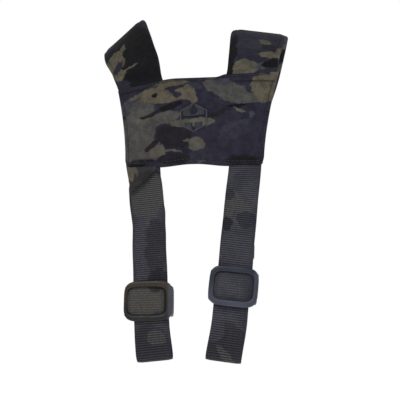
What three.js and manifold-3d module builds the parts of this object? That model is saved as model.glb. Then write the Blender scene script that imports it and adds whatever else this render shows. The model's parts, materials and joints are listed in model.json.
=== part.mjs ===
// Back yoke and straps of a load-bearing H-harness, in millimetres, +Z up, outer face towards -Y.
// The origin is the middle of the yoke's inner face, the one that lies on the wearer's back.
import * as THREE from "three";
import { mergeVertices } from "three/addons/utils/BufferGeometryUtils.js";
import Module from "manifold-3d";

const wasm = await Module();
wasm.setup();

// ---- Driving dimensions ----
const CLEARANCE = 0.3; // between pieces that lie on each other

const YOKE_TOP_HALF = 68.5;
const YOKE_BOTTOM_HALF = 55;
const YOKE_TOP = 38;
const YOKE_BOTTOM = -40; // at the lower straps
const YOKE_SIDE_CURVE = 1.6; // how late the hollow sides flare towards the top
const YOKE_ARCH = 2.1; // how far the bottom edge rises between the lower straps
const YOKE_RIGHT_RISE = 2.4; // how much higher the top edge is at the right strap
const YOKE_RIGHT_LEAN = 0.045; // rise of that edge for each millimetre sideways
const YOKE_CORNER = 2.4; // rise of the rounded bottom corners
const YOKE_HEM = 1.6; // width of the shell's turned edge
const YOKE_SHELL = 1.2;
const YOKE_FOAM = 2.5;
const YOKE_LINING = 1.0;
const YOKE_FLAT_HALF = 14; // half width of the middle, which stays flat
const YOKE_BEND = 14; // width of the stretch that bends from flat to the side's slope
const TOP_SLOPE = { left: 21, right: 1 }; // degrees that each side folds back at the top edge
const BOTTOM_SLOPE = 4;

const PAD_SEAM_WIDTH = 42;
const PAD_CREST_WIDTH = 55;
const PAD_END_WIDTH = 40;
const PAD_END_TAPER = 6;
const PAD_SEAM_OFFSET = 47.6; // from the middle of the yoke to the middle of the strap's seam
const PAD_SHELL = 1.0;
const PAD_FOAM = 4.0;
const PAD_LINING = 1.0;
const PAD_LENGTH = 285;

const STATION = 6; // step between the sections of a strap
const NOSE_TIP = 0.3; // a rounded seam end's thickness at its tip, as a share of the strap's
const SEAM_SKEW_LENGTH = 40; // length over which a strap's sections turn square to it

const WEB_WIDTH = 25.4;
const WEB_THICKNESS = 1.6;
const WEB_OVERLAP = 38; // length of front webbing sewn onto the padded strap
const WEB_RETURN_GAP = 1.0; // air between the two runs of a folded strap
const LOWER_SEAM_OFFSET = 40.1;
const LOWER_LOOP_RADIUS = 4.8; // middle of the webbing, at the loop for the carrier's ring
const LOWER_LOOP_FLARE = 20; // length over which the two runs part into the loop
const LOWER_TAIL_START = 20; // from the yoke seam to the free end of the return run

const SLIDER_WIDTH = 36;
const SLIDER_HEIGHT = 29.5;
const SLIDER_BAR = 4.6;
const SLIDER_SIDE = 2.9;
const SLIDER_CORNER = 5;
const SLIDER_PLATE = 2.8;
const SLIDER_POST_HEIGHT = 13;
const SLIDER_BACK_BAR = 2.4;
const SLIDER_PLAY = 0.45; // between the slider's bars and the webbing
const SLIDER_AT = { left: 104, right: 93.5 }; // distance down the lower strap
const SLIDER_SHIFT = { left: -1.3, right: 1.4 }; // sideways, within the play of its posts
const SLIDER_TILT = { left: 2.4, right: -1 }; // degrees

const BUCKLE_WIDTH = 34;
const BUCKLE_THICKNESS = 6;
const BUCKLE_BAR = 3.6; // height of the bar that the webbing loops round
const BUCKLE_BAR_DEPTH = 2.8;
const BUCKLE_POST = 3.2;
const BUCKLE_SLOT = 6.4;
const BUCKLE_SHOULDER = 8;
const BUCKLE_GUIDE_LENGTH = 22;
const BUCKLE_GUIDE_WIDTH = 4.6;
const ARM_LENGTH = 27;
const ARM_WIDTH = 4.2;
const ARM_THICKNESS = 4.6;
const ARM_BARB = 3.4;
const ARM_GAP = 0.5; // between an arm's rounded root and its socket
const BAR_LOOP_RADIUS = Math.hypot(BUCKLE_BAR, BUCKLE_BAR_DEPTH) / 2 + CLEARANCE + WEB_THICKNESS / 2;
const BAR_LOOP_FLARE = 14;
const FRONT_RETURN = 62; // length of front webbing folded back from the buckle
const KEEPER_PLACE = 34; // from the buckle's bar to the middle of the keeper

const BADGE_WIDTH = 23;
const BADGE_HEIGHT = 27;
const BADGE_THICKNESS = 0.8;
const BARTACK_THICKNESS = 0.5;
const BARTACK_HEIGHT = 1.6;
const SHOULDER_BARTACK_DROP = 5.4; // from the yoke's top edge to the bar's bottom
const LOWER_BARTACK_RISE = 4.2;
const LOWER_BARTACK_WIDTH = 18;
const FLAP_LENGTH = 19;
const FLAP_THICKNESS = 0.9;
const FLAP_WIDTH = 21;
const FLAP_TIP = 1.2; // width at the slanted edge's lower end

const yokeDepth = YOKE_SHELL + YOKE_FOAM + YOKE_LINING + 2 * CLEARANCE;
const padDepth = PAD_SHELL + PAD_FOAM + PAD_LINING + 2 * CLEARANCE;
const yokeHeight = YOKE_TOP - YOKE_BOTTOM;
const yokeMiddleY = -yokeDepth / 2;
const padNose = padDepth / 2; // the strap's seam end stays inside this radius about its hinge
const webNose = WEB_THICKNESS / 2 + 0.2;

// ---- Materials ----
const COLOURS = {
  print: [0x23211f, 0.95, 0],
  lining: [0x1a1a1b, 0.95, 0],
  foam: [0x2b2b2c, 1, 0],
  webbing: [0x2a2926, 0.9, 0],
  thread: [0x161616, 0.8, 0],
  plastic: [0x1b1d22, 0.45, 0],
};

function material(kind) {
  const [color, roughness, metalness] = COLOURS[kind];
  return new THREE.MeshStandardMaterial({ color, roughness, metalness });
}

// ---- Solids ----
function merged(geometry) {
  const bare = geometry.index ? geometry.toNonIndexed() : geometry.clone();
  bare.deleteAttribute("normal");
  bare.deleteAttribute("uv");
  return mergeVertices(bare, 1e-4);
}

function toSolid(geometry) {
  const clean = merged(geometry);
  return new wasm.Manifold(
    new wasm.Mesh({
      numProp: 3,
      vertProperties: new Float32Array(clean.attributes.position.array),
      triVerts: new Uint32Array(clean.index.array),
    }),
  );
}

function toGeometry(solid) {
  const mesh = solid.getMesh();
  const geometry = new THREE.BufferGeometry();
  geometry.setAttribute("position", new THREE.BufferAttribute(mesh.vertProperties, 3));
  geometry.setIndex(new THREE.BufferAttribute(mesh.triVerts, 1));
  geometry.computeVertexNormals();
  return geometry;
}

function join(...geometries) {
  return toGeometry(geometries.map(toSolid).reduce((sum, next) => sum.add(next)));
}

function cut(body, ...tools) {
  return toGeometry(tools.map(toSolid).reduce((rest, tool) => rest.subtract(tool), toSolid(body)));
}

// A closed skin through rings that all have the same number of points, with flat ends.
// Quads from the point flipFrom on are split the other way, so that two faces of a layer match.
function loft(rings, flipFrom = Infinity) {
  const count = rings[0].length;
  const points = rings.flat();
  const faces = [];
  for (let r = 0; r + 1 < rings.length; r += 1) {
    for (let k = 0; k < count; k += 1) {
      const a = r * count + k;
      const b = r * count + ((k + 1) % count);
      if (k < flipFrom) faces.push([a, b + count, b], [a, a + count, b + count]);
      else faces.push([a, a + count, b], [b, a + count, b + count]);
    }
  }
  const last = (rings.length - 1) * count;
  for (let k = 1; k + 1 < count; k += 1) {
    faces.push([0, k, k + 1], [last, last + k + 1, last + k]);
  }
  const geometry = new THREE.BufferGeometry().setFromPoints(points);
  geometry.setIndex(faces.flat());
  geometry.computeVertexNormals();
  return geometry;
}

// Extruded outline in the XZ plane, from y = near to y = far, with near < far.
function plate(shape, near, far) {
  const geometry = new THREE.ExtrudeGeometry(shape, { depth: far - near, bevelEnabled: false });
  return geometry.rotateX(Math.PI / 2).translate(0, far, 0);
}

function roundedRectangle(width, height, radius, Kind = THREE.Shape) {
  const w = width / 2;
  const h = height / 2;
  const shape = new Kind();
  shape.moveTo(-w + radius, -h);
  shape.lineTo(w - radius, -h);
  shape.absarc(w - radius, -h + radius, radius, -Math.PI / 2, 0);
  shape.lineTo(w, h - radius);
  shape.absarc(w - radius, h - radius, radius, 0, Math.PI / 2);
  shape.lineTo(-w + radius, h);
  shape.absarc(-w + radius, h - radius, radius, Math.PI / 2, Math.PI);
  shape.lineTo(-w, -h + radius);
  shape.absarc(-w + radius, -h + radius, radius, Math.PI, Math.PI * 1.5);
  return shape;
}

function block(x0, x1, y0, y1, z0, z1) {
  const geometry = new THREE.BoxGeometry(x1 - x0, y1 - y0, z1 - z0);
  return geometry.translate((x0 + x1) / 2, (y0 + y1) / 2, (z0 + z1) / 2);
}

// ---- The yoke's draped surface ----
function slopeAt(x, z) {
  const up = (z - YOKE_BOTTOM) / yokeHeight;
  const top = x < 0 ? TOP_SLOPE.left : TOP_SLOPE.right;
  return THREE.MathUtils.degToRad(BOTTOM_SLOPE + (top - BOTTOM_SLOPE) * up);
}

function foldBack(x, z) {
  const past = Math.abs(x) - YOKE_FLAT_HALF;
  if (past <= 0) return 0;
  const bent = past < YOKE_BEND ? (past * past) / (2 * YOKE_BEND) : past - YOKE_BEND / 2;
  return Math.tan(slopeAt(x, z)) * bent;
}

// The yoke's half width at a height: its sides are hollow and flare towards the top.
function yokeHalf(z) {
  const up = Math.max(0, (z - YOKE_BOTTOM) / yokeHeight);
  return THREE.MathUtils.lerp(YOKE_BOTTOM_HALF, YOKE_TOP_HALF, up ** YOKE_SIDE_CURVE);
}

function topEdge(x) {
  const inner = PAD_SEAM_OFFSET - PAD_SEAM_WIDTH / 2; // the edge is straight from here outward
  const rise = YOKE_RIGHT_RISE * THREE.MathUtils.smoothstep(x, inner - 9, inner - 1);
  return YOKE_TOP + rise + YOKE_RIGHT_LEAN * Math.max(0, x - inner);
}

function bottomEdge(x) {
  const inner = LOWER_SEAM_OFFSET - WEB_WIDTH / 2;
  return YOKE_BOTTOM + YOKE_ARCH * (1 - THREE.MathUtils.smoothstep(Math.abs(x), 2, inner - 1));
}

// A plate that follows the draped surface and stops a gap short of the yoke's outline.
function yokePlate(gap, near, far) {
  const columns = 36;
  const rows = 8;
  const at = (column, row, y) => {
    const across = (2 * column) / columns - 1;
    const lift = YOKE_CORNER * Math.max(0, (Math.abs(across) - 0.9) / 0.1) ** 2;
    const low = bottomEdge(across * YOKE_BOTTOM_HALF) + gap + lift;
    const high = topEdge(across * YOKE_TOP_HALF) - gap;
    const z = THREE.MathUtils.lerp(low, high, row / rows);
    const x = across * (yokeHalf(z) - gap);
    return new THREE.Vector3(x, y + foldBack(x, z), z);
  };
  const rings = [];
  for (let column = 0; column <= columns; column += 1) {
    const ring = [];
    for (let row = 0; row <= rows; row += 1) ring.push(at(column, row, near));
    for (let row = rows; row >= 0; row -= 1) ring.push(at(column, row, far));
    rings.push(ring);
  }
  return loftBands(rings, rows);
}

// Closed skin through columns of points that run up one face and down the other.
function loftBands(rings, rows) {
  const count = rings[0].length;
  const geometry = loft(rings, rows + 1);
  const faces = [];
  const index = geometry.index.array;
  for (let i = 0; i < (rings.length - 1) * count * 6; i += 1) faces.push(index[i]);
  const last = (rings.length - 1) * count;
  for (let row = 0; row < rows; row += 1) {
    const a = row;
    const b = row + 1;
    const c = count - 2 - row;
    const d = count - 1 - row;
    faces.push(a, b, c, a, c, d, last + a, last + c, last + b, last + a, last + d, last + c);
  }
  geometry.setIndex(faces);
  return geometry;
}

function yokeShell() {
  const whole = yokePlate(0, -yokeDepth, 0);
  const pocket = yokePlate(YOKE_HEM, -yokeDepth + YOKE_SHELL, 4);
  return cut(whole, pocket);
}

function yokeFoam() {
  const near = -yokeDepth + YOKE_SHELL + CLEARANCE;
  return yokePlate(YOKE_HEM + CLEARANCE, near, near + YOKE_FOAM);
}

function yokeLining() {
  return yokePlate(YOKE_HEM + CLEARANCE, -YOKE_LINING, 0);
}

// A bar of dense stitching on the yoke's outer face, from x = x0 to x = x1.
function stitchBar(x0, x1, z0) {
  const z1 = z0 + BARTACK_HEIGHT;
  const steps = 8;
  const near = -yokeDepth - CLEARANCE - BARTACK_THICKNESS;
  const rings = [];
  for (let i = 0; i <= steps; i += 1) {
    const x = THREE.MathUtils.lerp(x0, x1, i / steps);
    const point = (y, z) => new THREE.Vector3(x, y + foldBack(x, z), z);
    const far = near + BARTACK_THICKNESS;
    rings.push([point(near, z0), point(near, z1), point(far, z1), point(far, z0)]);
  }
  return loft(rings);
}

function badge() {
  const shape = new THREE.Shape();
  const w = BADGE_WIDTH / 2;
  const h = BADGE_HEIGHT / 2;
  const shoulder = h * 0.5;
  shape.moveTo(0, -h);
  shape.lineTo(w, -shoulder);
  shape.lineTo(w, shoulder);
  shape.lineTo(0, h);
  shape.lineTo(-w, shoulder);
  shape.lineTo(-w, -shoulder);
  shape.closePath();
  const far = -yokeDepth - CLEARANCE;
  return plate(shape, far - BADGE_THICKNESS, far);
}

// ---- Straps ----
// A strap's line: a curve, the direction across it at each end, and which side is outward.
class StrapLine {
  constructor(points, acrossKeys, outward) {
    this.curve = new THREE.CatmullRomCurve3(points.map((p) => new THREE.Vector3(...p)), false, "centripetal");
    this.curve.arcLengthDivisions = 600;
    this.length = this.curve.getLength();
    this.acrossKeys = acrossKeys;
    this.outward = outward;
  }

  frame(distance) {
    const u = THREE.MathUtils.clamp(distance / this.length, 0, 1);
    const along = this.curve.getTangentAt(u);
    const point = this.curve.getPointAt(u).addScaledVector(along, distance - u * this.length);
    const across = this.across(distance, along);
    const out = new THREE.Vector3().crossVectors(across, along).multiplyScalar(this.outward).normalize();
    return { point, along, across, out };
  }

  // Parallel to the seam where the strap starts, and square to the strap further on.
  across(distance, along) {
    const keys = this.acrossKeys;
    let k = 0;
    while (k + 2 < keys.length && distance > keys[k + 1].at) k += 1;
    const span = (distance - keys[k].at) / (keys[k + 1].at - keys[k].at);
    const part = THREE.MathUtils.smoothstep(span, 0, 1);
    const from = new THREE.Vector3(...keys[k].dir).normalize();
    const mixed = from.lerp(new THREE.Vector3(...keys[k + 1].dir).normalize(), part).normalize();
    const square = THREE.MathUtils.smoothstep(distance, 0, SEAM_SKEW_LENGTH) * mixed.dot(along);
    return mixed.addScaledVector(along, -square).normalize();
  }

  at(distance, sideways, outwards) {
    const { point, across, out } = this.frame(distance);
    return point.clone().addScaledVector(across, sideways).addScaledVector(out, outwards);
  }
}

// The distances where a strap's layers have a section: all layers share them, so none cut another.
function stations(start, end) {
  const list = [start];
  for (let s = Math.ceil((start + 1) / STATION) * STATION; s < end - 1; s += STATION) list.push(s);
  list.push(end);
  return list;
}

// A layer of a strap between two distances, as wide as width(distance), from offset low to high.
// A nose is a thinner first section that lies that much before the start.
function layer(line, start, end, width, low, high, nose = 0) {
  const rings = [];
  const list = stations(start, end);
  if (nose > 0) list.unshift(start - nose);
  for (const s of list) {
    const half = width(s) / 2;
    const thin = s < start ? NOSE_TIP : 1;
    const places = [-1, -1 / 3, 1 / 3, 1].map((share) => share * half);
    const under = places.map((place) => line.at(s, place, low * thin));
    const over = places.reverse().map((place) => line.at(s, place, high * thin));
    const ring = [...under, ...over];
    rings.push(line.outward > 0 ? ring : ring.reverse());
  }
  return loftBands(rings, 3);
}

// Webbing that runs down to a loop and back up inside it. Each stop is [distance, offset, turn].
function foldedWeb(line, start, end, radius, returnTo, flare, gap, offset, nose) {
  const stops = stations(start, end - radius).map((s) => [s, offset, 0]);
  if (nose > 0) stops.unshift([start - nose, offset, 0]);
  const arcs = 10;
  for (let i = 1; i < arcs; i += 1) {
    const turn = (Math.PI * i) / arcs;
    stops.push([end - radius + radius * Math.sin(turn), offset - radius * (1 - Math.cos(turn)), turn]);
  }
  const pitch = WEB_THICKNESS + gap;
  for (const s of stations(returnTo, end - radius).reverse()) {
    const open = THREE.MathUtils.smoothstep(s, end - radius - flare, end - radius);
    stops.push([s, offset - pitch - (2 * radius - pitch) * open, Math.PI]);
  }
  const half = WEB_WIDTH / 2;
  const rings = stops.map(([s, o, turn]) => {
    const t = (WEB_THICKNESS / 2) * (s < start ? NOSE_TIP : 1);
    const ds = Math.sin(turn) * t;
    const dn = Math.cos(turn) * t;
    const ring = [
      line.at(s - ds, -half, o - dn),
      line.at(s - ds, half, o - dn),
      line.at(s + ds, half, o + dn),
      line.at(s + ds, -half, o + dn),
    ];
    return line.outward > 0 ? ring : ring.reverse();
  });
  return loft(rings);
}

function sideSign(side) {
  return side === "left" ? -1 : 1;
}

// The padded strap rises from its seam, goes over the shoulder and runs down the chest.
const SHOULDER_ROUTE = {
  left: [
    [-55.5, 22, 66],
    [-68.5, 42, 98],
    [-80, 76, 131],
    [-83.5, 112, 142.5],
    [-80.5, 147, 128],
    [-75, 168, 90],
    [-70, 176, 45],
    [-67, 177, 0],
    [-64.5, 176, -62],
  ],
  right: [
    [50, 12, 68],
    [54, 36, 98],
    [58, 75, 127],
    [58.5, 112, 137],
    [53, 147, 123],
    [43, 168, 88],
    [38, 176, 45],
    [35.5, 177, 0],
    [32.5, 176, -62],
  ],
};
const CREST_ACROSS = { left: [0.79, -0.44, 0.41], right: [0.985, 0.1, -0.12] };
const FRONT_ACROSS = { left: [0.995, 0.08, 0.05], right: [0.995, -0.08, -0.1] };
const CREST_AT = 150; // distance along the strap to the top of the shoulder

// The direction of a strap's seam, along the yoke's edge.
function topSeamAcross(side) {
  const slope = slopeAt(sideSign(side), YOKE_TOP);
  const lean = side === "right" ? YOKE_RIGHT_LEAN : 0;
  return new THREE.Vector3(Math.cos(slope), sideSign(side) * Math.sin(slope), lean).normalize();
}

function bottomSeamAcross(side) {
  const slope = slopeAt(sideSign(side), YOKE_BOTTOM);
  return new THREE.Vector3(Math.cos(slope), sideSign(side) * Math.sin(slope), 0);
}

function shoulderLine(side) {
  const x = sideSign(side) * PAD_SEAM_OFFSET;
  const edge = topEdge(x);
  const seam = [x, yokeMiddleY + foldBack(x, edge), edge + CLEARANCE + padNose];
  const keys = [
    { at: 0, dir: topSeamAcross(side).toArray() },
    { at: CREST_AT * 0.75, dir: CREST_ACROSS[side] },
    { at: CREST_AT * 1.35, dir: CREST_ACROSS[side] },
    { at: PAD_LENGTH, dir: FRONT_ACROSS[side] },
  ];
  return new StrapLine([seam, ...SHOULDER_ROUTE[side]], keys, 1);
}

function padWidth(distance) {
  const rise = THREE.MathUtils.smoothstep(distance, 0, CREST_AT * 0.7);
  const fall = THREE.MathUtils.smoothstep(distance, CREST_AT * 1.2, PAD_LENGTH);
  const taper = THREE.MathUtils.smoothstep(distance, PAD_LENGTH - 14, PAD_LENGTH);
  const wide = THREE.MathUtils.lerp(PAD_SEAM_WIDTH, PAD_CREST_WIDTH, rise);
  return THREE.MathUtils.lerp(wide, PAD_END_WIDTH, fall) - PAD_END_TAPER * taper * taper;
}

function shoulderPieces(side) {
  const line = shoulderLine(side);
  const outer = padDepth / 2;
  const foamStart = -Math.sqrt(padNose ** 2 - (PAD_FOAM / 2) ** 2) + 0.1;
  const foamNose = padNose - 0.1 + foamStart;
  const narrower = (s) => padWidth(s) - 3;
  const foamEnd = PAD_LENGTH - 2;
  const shell = layer(line, 0, PAD_LENGTH, padWidth, outer - PAD_SHELL, outer);
  const foam = layer(line, foamStart, foamEnd, narrower, -PAD_FOAM / 2, PAD_FOAM / 2, foamNose);
  const lining = layer(line, 0, PAD_LENGTH, padWidth, -outer, -outer + PAD_LINING);
  const webStart = PAD_LENGTH - WEB_OVERLAP;
  const offset = outer + CLEARANCE + WEB_THICKNESS / 2;
  const barAt = line.length;
  const web = foldedWeb(
    line,
    webStart,
    barAt + BAR_LOOP_RADIUS,
    BAR_LOOP_RADIUS,
    barAt - FRONT_RETURN,
    BAR_LOOP_FLARE,
    WEB_RETURN_GAP,
    offset,
    0,
  );
  return { line, shell, foam, lining, web, offset, barAt };
}

// The lower strap hangs from the yoke's bottom edge, straight where the slider runs on it.
const LOWER_ROUTE = {
  left: [
    [-37.1, -1.8, -55],
    [-33.7, -2, -87],
    [-32.5, -2, -107],
    [-31.2, -2, -128],
    [-30, -2, -148],
    [-28.7, -2, -168.4],
    [-26.9, -2, -186],
  ],
  right: [
    [38.6, -1.8, -55],
    [37.1, -2, -68],
    [33.5, -2, -98],
    [29.8, -2, -128],
    [26.1, -2, -158],
    [22.6, -2, -186],
  ],
};

function lowerLine(side) {
  const x = sideSign(side) * LOWER_SEAM_OFFSET;
  const seam = [x, yokeMiddleY + foldBack(x, YOKE_BOTTOM), YOKE_BOTTOM - CLEARANCE - webNose];
  const points = [seam, ...LOWER_ROUTE[side]].map((p) => new THREE.Vector3(...p));
  const run = points[points.length - 2].clone().sub(points[2]).normalize();
  const across = new THREE.Vector3(-run.z, 0, run.x).normalize();
  const keys = [
    { at: 0, dir: bottomSeamAcross(side).toArray() },
    { at: 30, dir: across.toArray() },
    { at: 200, dir: across.toArray() },
  ];
  return new StrapLine([seam, ...LOWER_ROUTE[side]], keys, -1);
}

// ---- Hardware ----
// Both front bars pass in front of the webbing and one bar passes behind it.
function sliderBody(backRoom) {
  const face = roundedRectangle(SLIDER_WIDTH, SLIDER_HEIGHT, SLIDER_CORNER);
  const windowWidth = SLIDER_WIDTH - 2 * SLIDER_SIDE;
  const windowHeight = SLIDER_HEIGHT - 2 * SLIDER_BAR;
  face.holes.push(roundedRectangle(windowWidth, windowHeight, SLIDER_CORNER / 2, THREE.Path));
  const front = -WEB_THICKNESS / 2 - SLIDER_PLAY;
  const back = -WEB_THICKNESS / 2 + backRoom + SLIDER_PLAY;
  const deep = back + SLIDER_BACK_BAR;
  const frame = plate(face, front - SLIDER_PLATE, front);
  const half = SLIDER_POST_HEIGHT / 2;
  const outer = SLIDER_WIDTH / 2;
  const inner = windowWidth / 2;
  const posts = [-1, 1].map((s) => {
    const x0 = s < 0 ? -outer : inner;
    return block(x0, x0 + SLIDER_SIDE, front - 1, deep, -half, half);
  });
  const bar = block(-outer, outer, back, deep, -half * 0.45, half * 0.45);
  return join(frame, ...posts, bar);
}

// The end that the webbing loops round is at the top, and the tip of the guide points down.
function buckleBody() {
  const shoulderTop = -BUCKLE_BAR / 2 - BUCKLE_SLOT;
  const low = shoulderTop - BUCKLE_SHOULDER;
  const h = BUCKLE_THICKNESS / 2;
  const w = BUCKLE_WIDTH / 2;
  const outline = roundedRectangle(BUCKLE_WIDTH, BUCKLE_BAR / 2 - low, 3);
  const body = plate(outline, -h, h).translate(0, 0, (BUCKLE_BAR / 2 + low) / 2);
  const inner = w - BUCKLE_POST;
  const slot = block(-inner, inner, -h - 1, h + 1, shoulderTop, BUCKLE_BAR);
  const barDeep = BUCKLE_BAR_DEPTH / 2;
  const bar = block(-inner - 1, inner + 1, -barDeep, barDeep, -BUCKLE_BAR / 2, BUCKLE_BAR / 2);
  const g = BUCKLE_GUIDE_WIDTH / 2;
  const guide = block(-g, g, -h + 0.8, h - 0.8, low - BUCKLE_GUIDE_LENGTH, low + 1);
  const root = ARM_WIDTH / 2 + ARM_GAP;
  const sockets = [-1, 1].map((s) =>
    new THREE.CylinderGeometry(root, root, BUCKLE_THICKNESS + 2, 16).translate(s * armPlace(), 0, armRoot()),
  );
  const mouths = [-1, 1].map((s) =>
    block(s * armPlace() - root, s * armPlace() + root, -h - 1, h + 1, low - 1, armRoot()),
  );
  return join(cut(join(body, guide), slot, ...sockets, ...mouths), bar);
}

function armPlace() {
  return BUCKLE_WIDTH / 2 - ARM_WIDTH / 2 - 2.4;
}

function armRoot() {
  return -BUCKLE_BAR / 2 - BUCKLE_SLOT - BUCKLE_SHOULDER + 2.6;
}

// One latch arm, its rounded root at the origin and its barb towards +X or -X.
function latchArm(sign) {
  const w = ARM_WIDTH / 2;
  const shape = new THREE.Shape();
  shape.absarc(0, 0, w, 0, Math.PI);
  shape.lineTo(-w * 0.9, -ARM_LENGTH * 0.5);
  shape.lineTo(-w * 0.4, -ARM_LENGTH);
  shape.lineTo(w, -ARM_LENGTH);
  shape.lineTo(w + ARM_BARB, -ARM_LENGTH * 0.68);
  shape.lineTo(w + 0.8, -ARM_LENGTH * 0.6);
  shape.lineTo(w, -ARM_LENGTH * 0.3);
  shape.closePath();
  const geometry = plate(shape, -ARM_THICKNESS / 2, ARM_THICKNESS / 2);
  return sign > 0 ? geometry : geometry.rotateZ(Math.PI);
}

// The tab of print fabric that covers the top of the left strap, cut off at a slant.
function coverFlap(line) {
  const lowest = WEB_THICKNESS / 2 + CLEARANCE;
  const steps = 8;
  const rings = [];
  for (let i = 0; i <= steps; i += 1) {
    const s = THREE.MathUtils.lerp(1.2, FLAP_LENGTH, i / steps);
    const left = -WEB_WIDTH / 2 - 0.4;
    const right = left + THREE.MathUtils.lerp(FLAP_WIDTH, FLAP_TIP, i / steps);
    const far = lowest + FLAP_THICKNESS;
    rings.push([
      line.at(s, left, far),
      line.at(s, right, far),
      line.at(s, right, lowest),
      line.at(s, left, lowest),
    ]);
  }
  return loft(rings);
}

// ---- Assembly ----
const harness = new THREE.Group();
const pivots = {};

function add(name, geometry, kind, parent = harness) {
  const mesh = new THREE.Mesh(geometry, material(kind));
  mesh.name = name;
  parent.add(mesh);
  return mesh;
}

// A group that stands on a strap: its Z runs up the strap and its Y points inward.
function groupOn(line, distance, sideways, outwards, tilt = 0) {
  const { along, out } = line.frame(distance);
  const up = along.clone().negate();
  const inward = out.clone().negate();
  const x = new THREE.Vector3().crossVectors(inward, up).normalize();
  const group = new THREE.Group();
  group.quaternion.setFromRotationMatrix(new THREE.Matrix4().makeBasis(x, inward, up));
  group.rotateY(THREE.MathUtils.degToRad(tilt));
  group.position.copy(line.at(distance, sideways, outwards));
  harness.add(group);
  return { group, x, inward, up };
}

add("yoke_shell", yokeShell(), "print");
add("yoke_foam", yokeFoam(), "foam");
add("yoke_lining", yokeLining(), "lining");
add("badge", badge(), "thread");

for (const side of ["left", "right"]) {
  const sign = sideSign(side);
  const seamEnds = [PAD_SEAM_OFFSET - PAD_SEAM_WIDTH / 2 + 2, PAD_SEAM_OFFSET + PAD_SEAM_WIDTH / 2 - 4];
  const [x0, x1] = seamEnds.map((x) => sign * x).sort((a, b) => a - b);
  const high = topEdge(sign * PAD_SEAM_OFFSET) - SHOULDER_BARTACK_DROP;
  add(`shoulder_bartack_${side}`, stitchBar(x0, x1, high), "thread");
  const middle = sign * LOWER_SEAM_OFFSET;
  const half = LOWER_BARTACK_WIDTH / 2;
  const low = YOKE_BOTTOM + LOWER_BARTACK_RISE;
  add(`lower_bartack_${side}`, stitchBar(middle - half, middle + half, low), "thread");

  const shoulder = shoulderPieces(side);
  add(`shoulder_shell_${side}`, shoulder.shell, "print");
  add(`shoulder_foam_${side}`, shoulder.foam, "foam");
  add(`shoulder_lining_${side}`, shoulder.lining, "lining");
  add(`front_web_${side}`, shoulder.web, "webbing");
  pivots[`shoulder_${side}`] = { at: shoulder.line.at(0, 0, 0), axis: topSeamAcross(side) };

  const barOut = shoulder.offset - BAR_LOOP_RADIUS;
  const keeperAt = shoulder.barAt - KEEPER_PLACE;
  const keeper = groupOn(shoulder.line, keeperAt, 0, shoulder.offset);
  add(`front_keeper_${side}`, sliderBody(2 * WEB_THICKNESS + WEB_RETURN_GAP), "plastic", keeper.group);
  pivots[`keeper_${side}`] = { at: keeper.group.position.clone(), axis: keeper.up };

  const buckle = groupOn(shoulder.line, shoulder.barAt, 0, barOut);
  add(`buckle_body_${side}`, buckleBody(), "plastic", buckle.group);
  pivots[`buckle_${side}`] = { at: buckle.group.position.clone(), axis: buckle.x };
  for (const hand of [-1, 1]) {
    const arm = add(`latch_arm_${side}_${hand < 0 ? "a" : "b"}`, latchArm(hand), "plastic", buckle.group);
    arm.position.set(hand * armPlace(), 0, armRoot());
    const at = arm.position.clone().applyQuaternion(buckle.group.quaternion).add(buckle.group.position);
    pivots[`latch_${side}_${hand < 0 ? "a" : "b"}`] = { at, axis: buckle.inward };
  }

  const lower = lowerLine(side);
  add(
    `lower_web_${side}`,
    foldedWeb(
      lower,
      0,
      lower.length,
      LOWER_LOOP_RADIUS,
      LOWER_TAIL_START,
      LOWER_LOOP_FLARE,
      WEB_RETURN_GAP,
      0,
      webNose - 0.1,
    ),
    "webbing",
  );
  pivots[`lower_${side}`] = { at: lower.at(0, 0, 0), axis: bottomSeamAcross(side) };
  if (side === "left") add("strap_cover_left", coverFlap(lower), "print");

  const slider = groupOn(lower, SLIDER_AT[side], SLIDER_SHIFT[side], 0, SLIDER_TILT[side]);
  add(`slider_${side}`, sliderBody(2 * WEB_THICKNESS + WEB_RETURN_GAP), "plastic", slider.group);
  pivots[`slider_${side}`] = { at: slider.group.position.clone(), axis: lower.frame(SLIDER_AT[side]).along };
}

// Where each moving piece turns or slides.
harness.userData.pivots = pivots;

export default harness;
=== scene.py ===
import json
import math

import bmesh
import bpy
import numpy as np
from mathutils import Matrix, Vector


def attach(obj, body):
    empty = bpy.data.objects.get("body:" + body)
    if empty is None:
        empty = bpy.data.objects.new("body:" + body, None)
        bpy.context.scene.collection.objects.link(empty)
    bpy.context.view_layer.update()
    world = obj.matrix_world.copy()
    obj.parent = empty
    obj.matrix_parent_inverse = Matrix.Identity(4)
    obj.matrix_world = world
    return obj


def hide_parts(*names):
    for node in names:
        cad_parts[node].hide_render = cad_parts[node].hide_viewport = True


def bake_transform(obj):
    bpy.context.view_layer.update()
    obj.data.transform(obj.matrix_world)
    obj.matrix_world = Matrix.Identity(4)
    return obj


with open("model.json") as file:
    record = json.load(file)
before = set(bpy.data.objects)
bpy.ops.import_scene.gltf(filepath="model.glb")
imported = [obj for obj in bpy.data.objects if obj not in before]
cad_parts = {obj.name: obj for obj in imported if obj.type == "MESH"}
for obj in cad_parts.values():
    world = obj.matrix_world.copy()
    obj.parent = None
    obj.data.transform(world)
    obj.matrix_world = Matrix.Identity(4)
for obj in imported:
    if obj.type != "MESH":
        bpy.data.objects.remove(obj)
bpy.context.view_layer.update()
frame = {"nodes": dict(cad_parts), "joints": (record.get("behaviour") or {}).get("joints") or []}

MM = 0.001
joints = {j["name"]: j for j in frame["joints"]}
SIDES = ("left", "right")
SIGN = {"left": -1, "right": 1}

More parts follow.
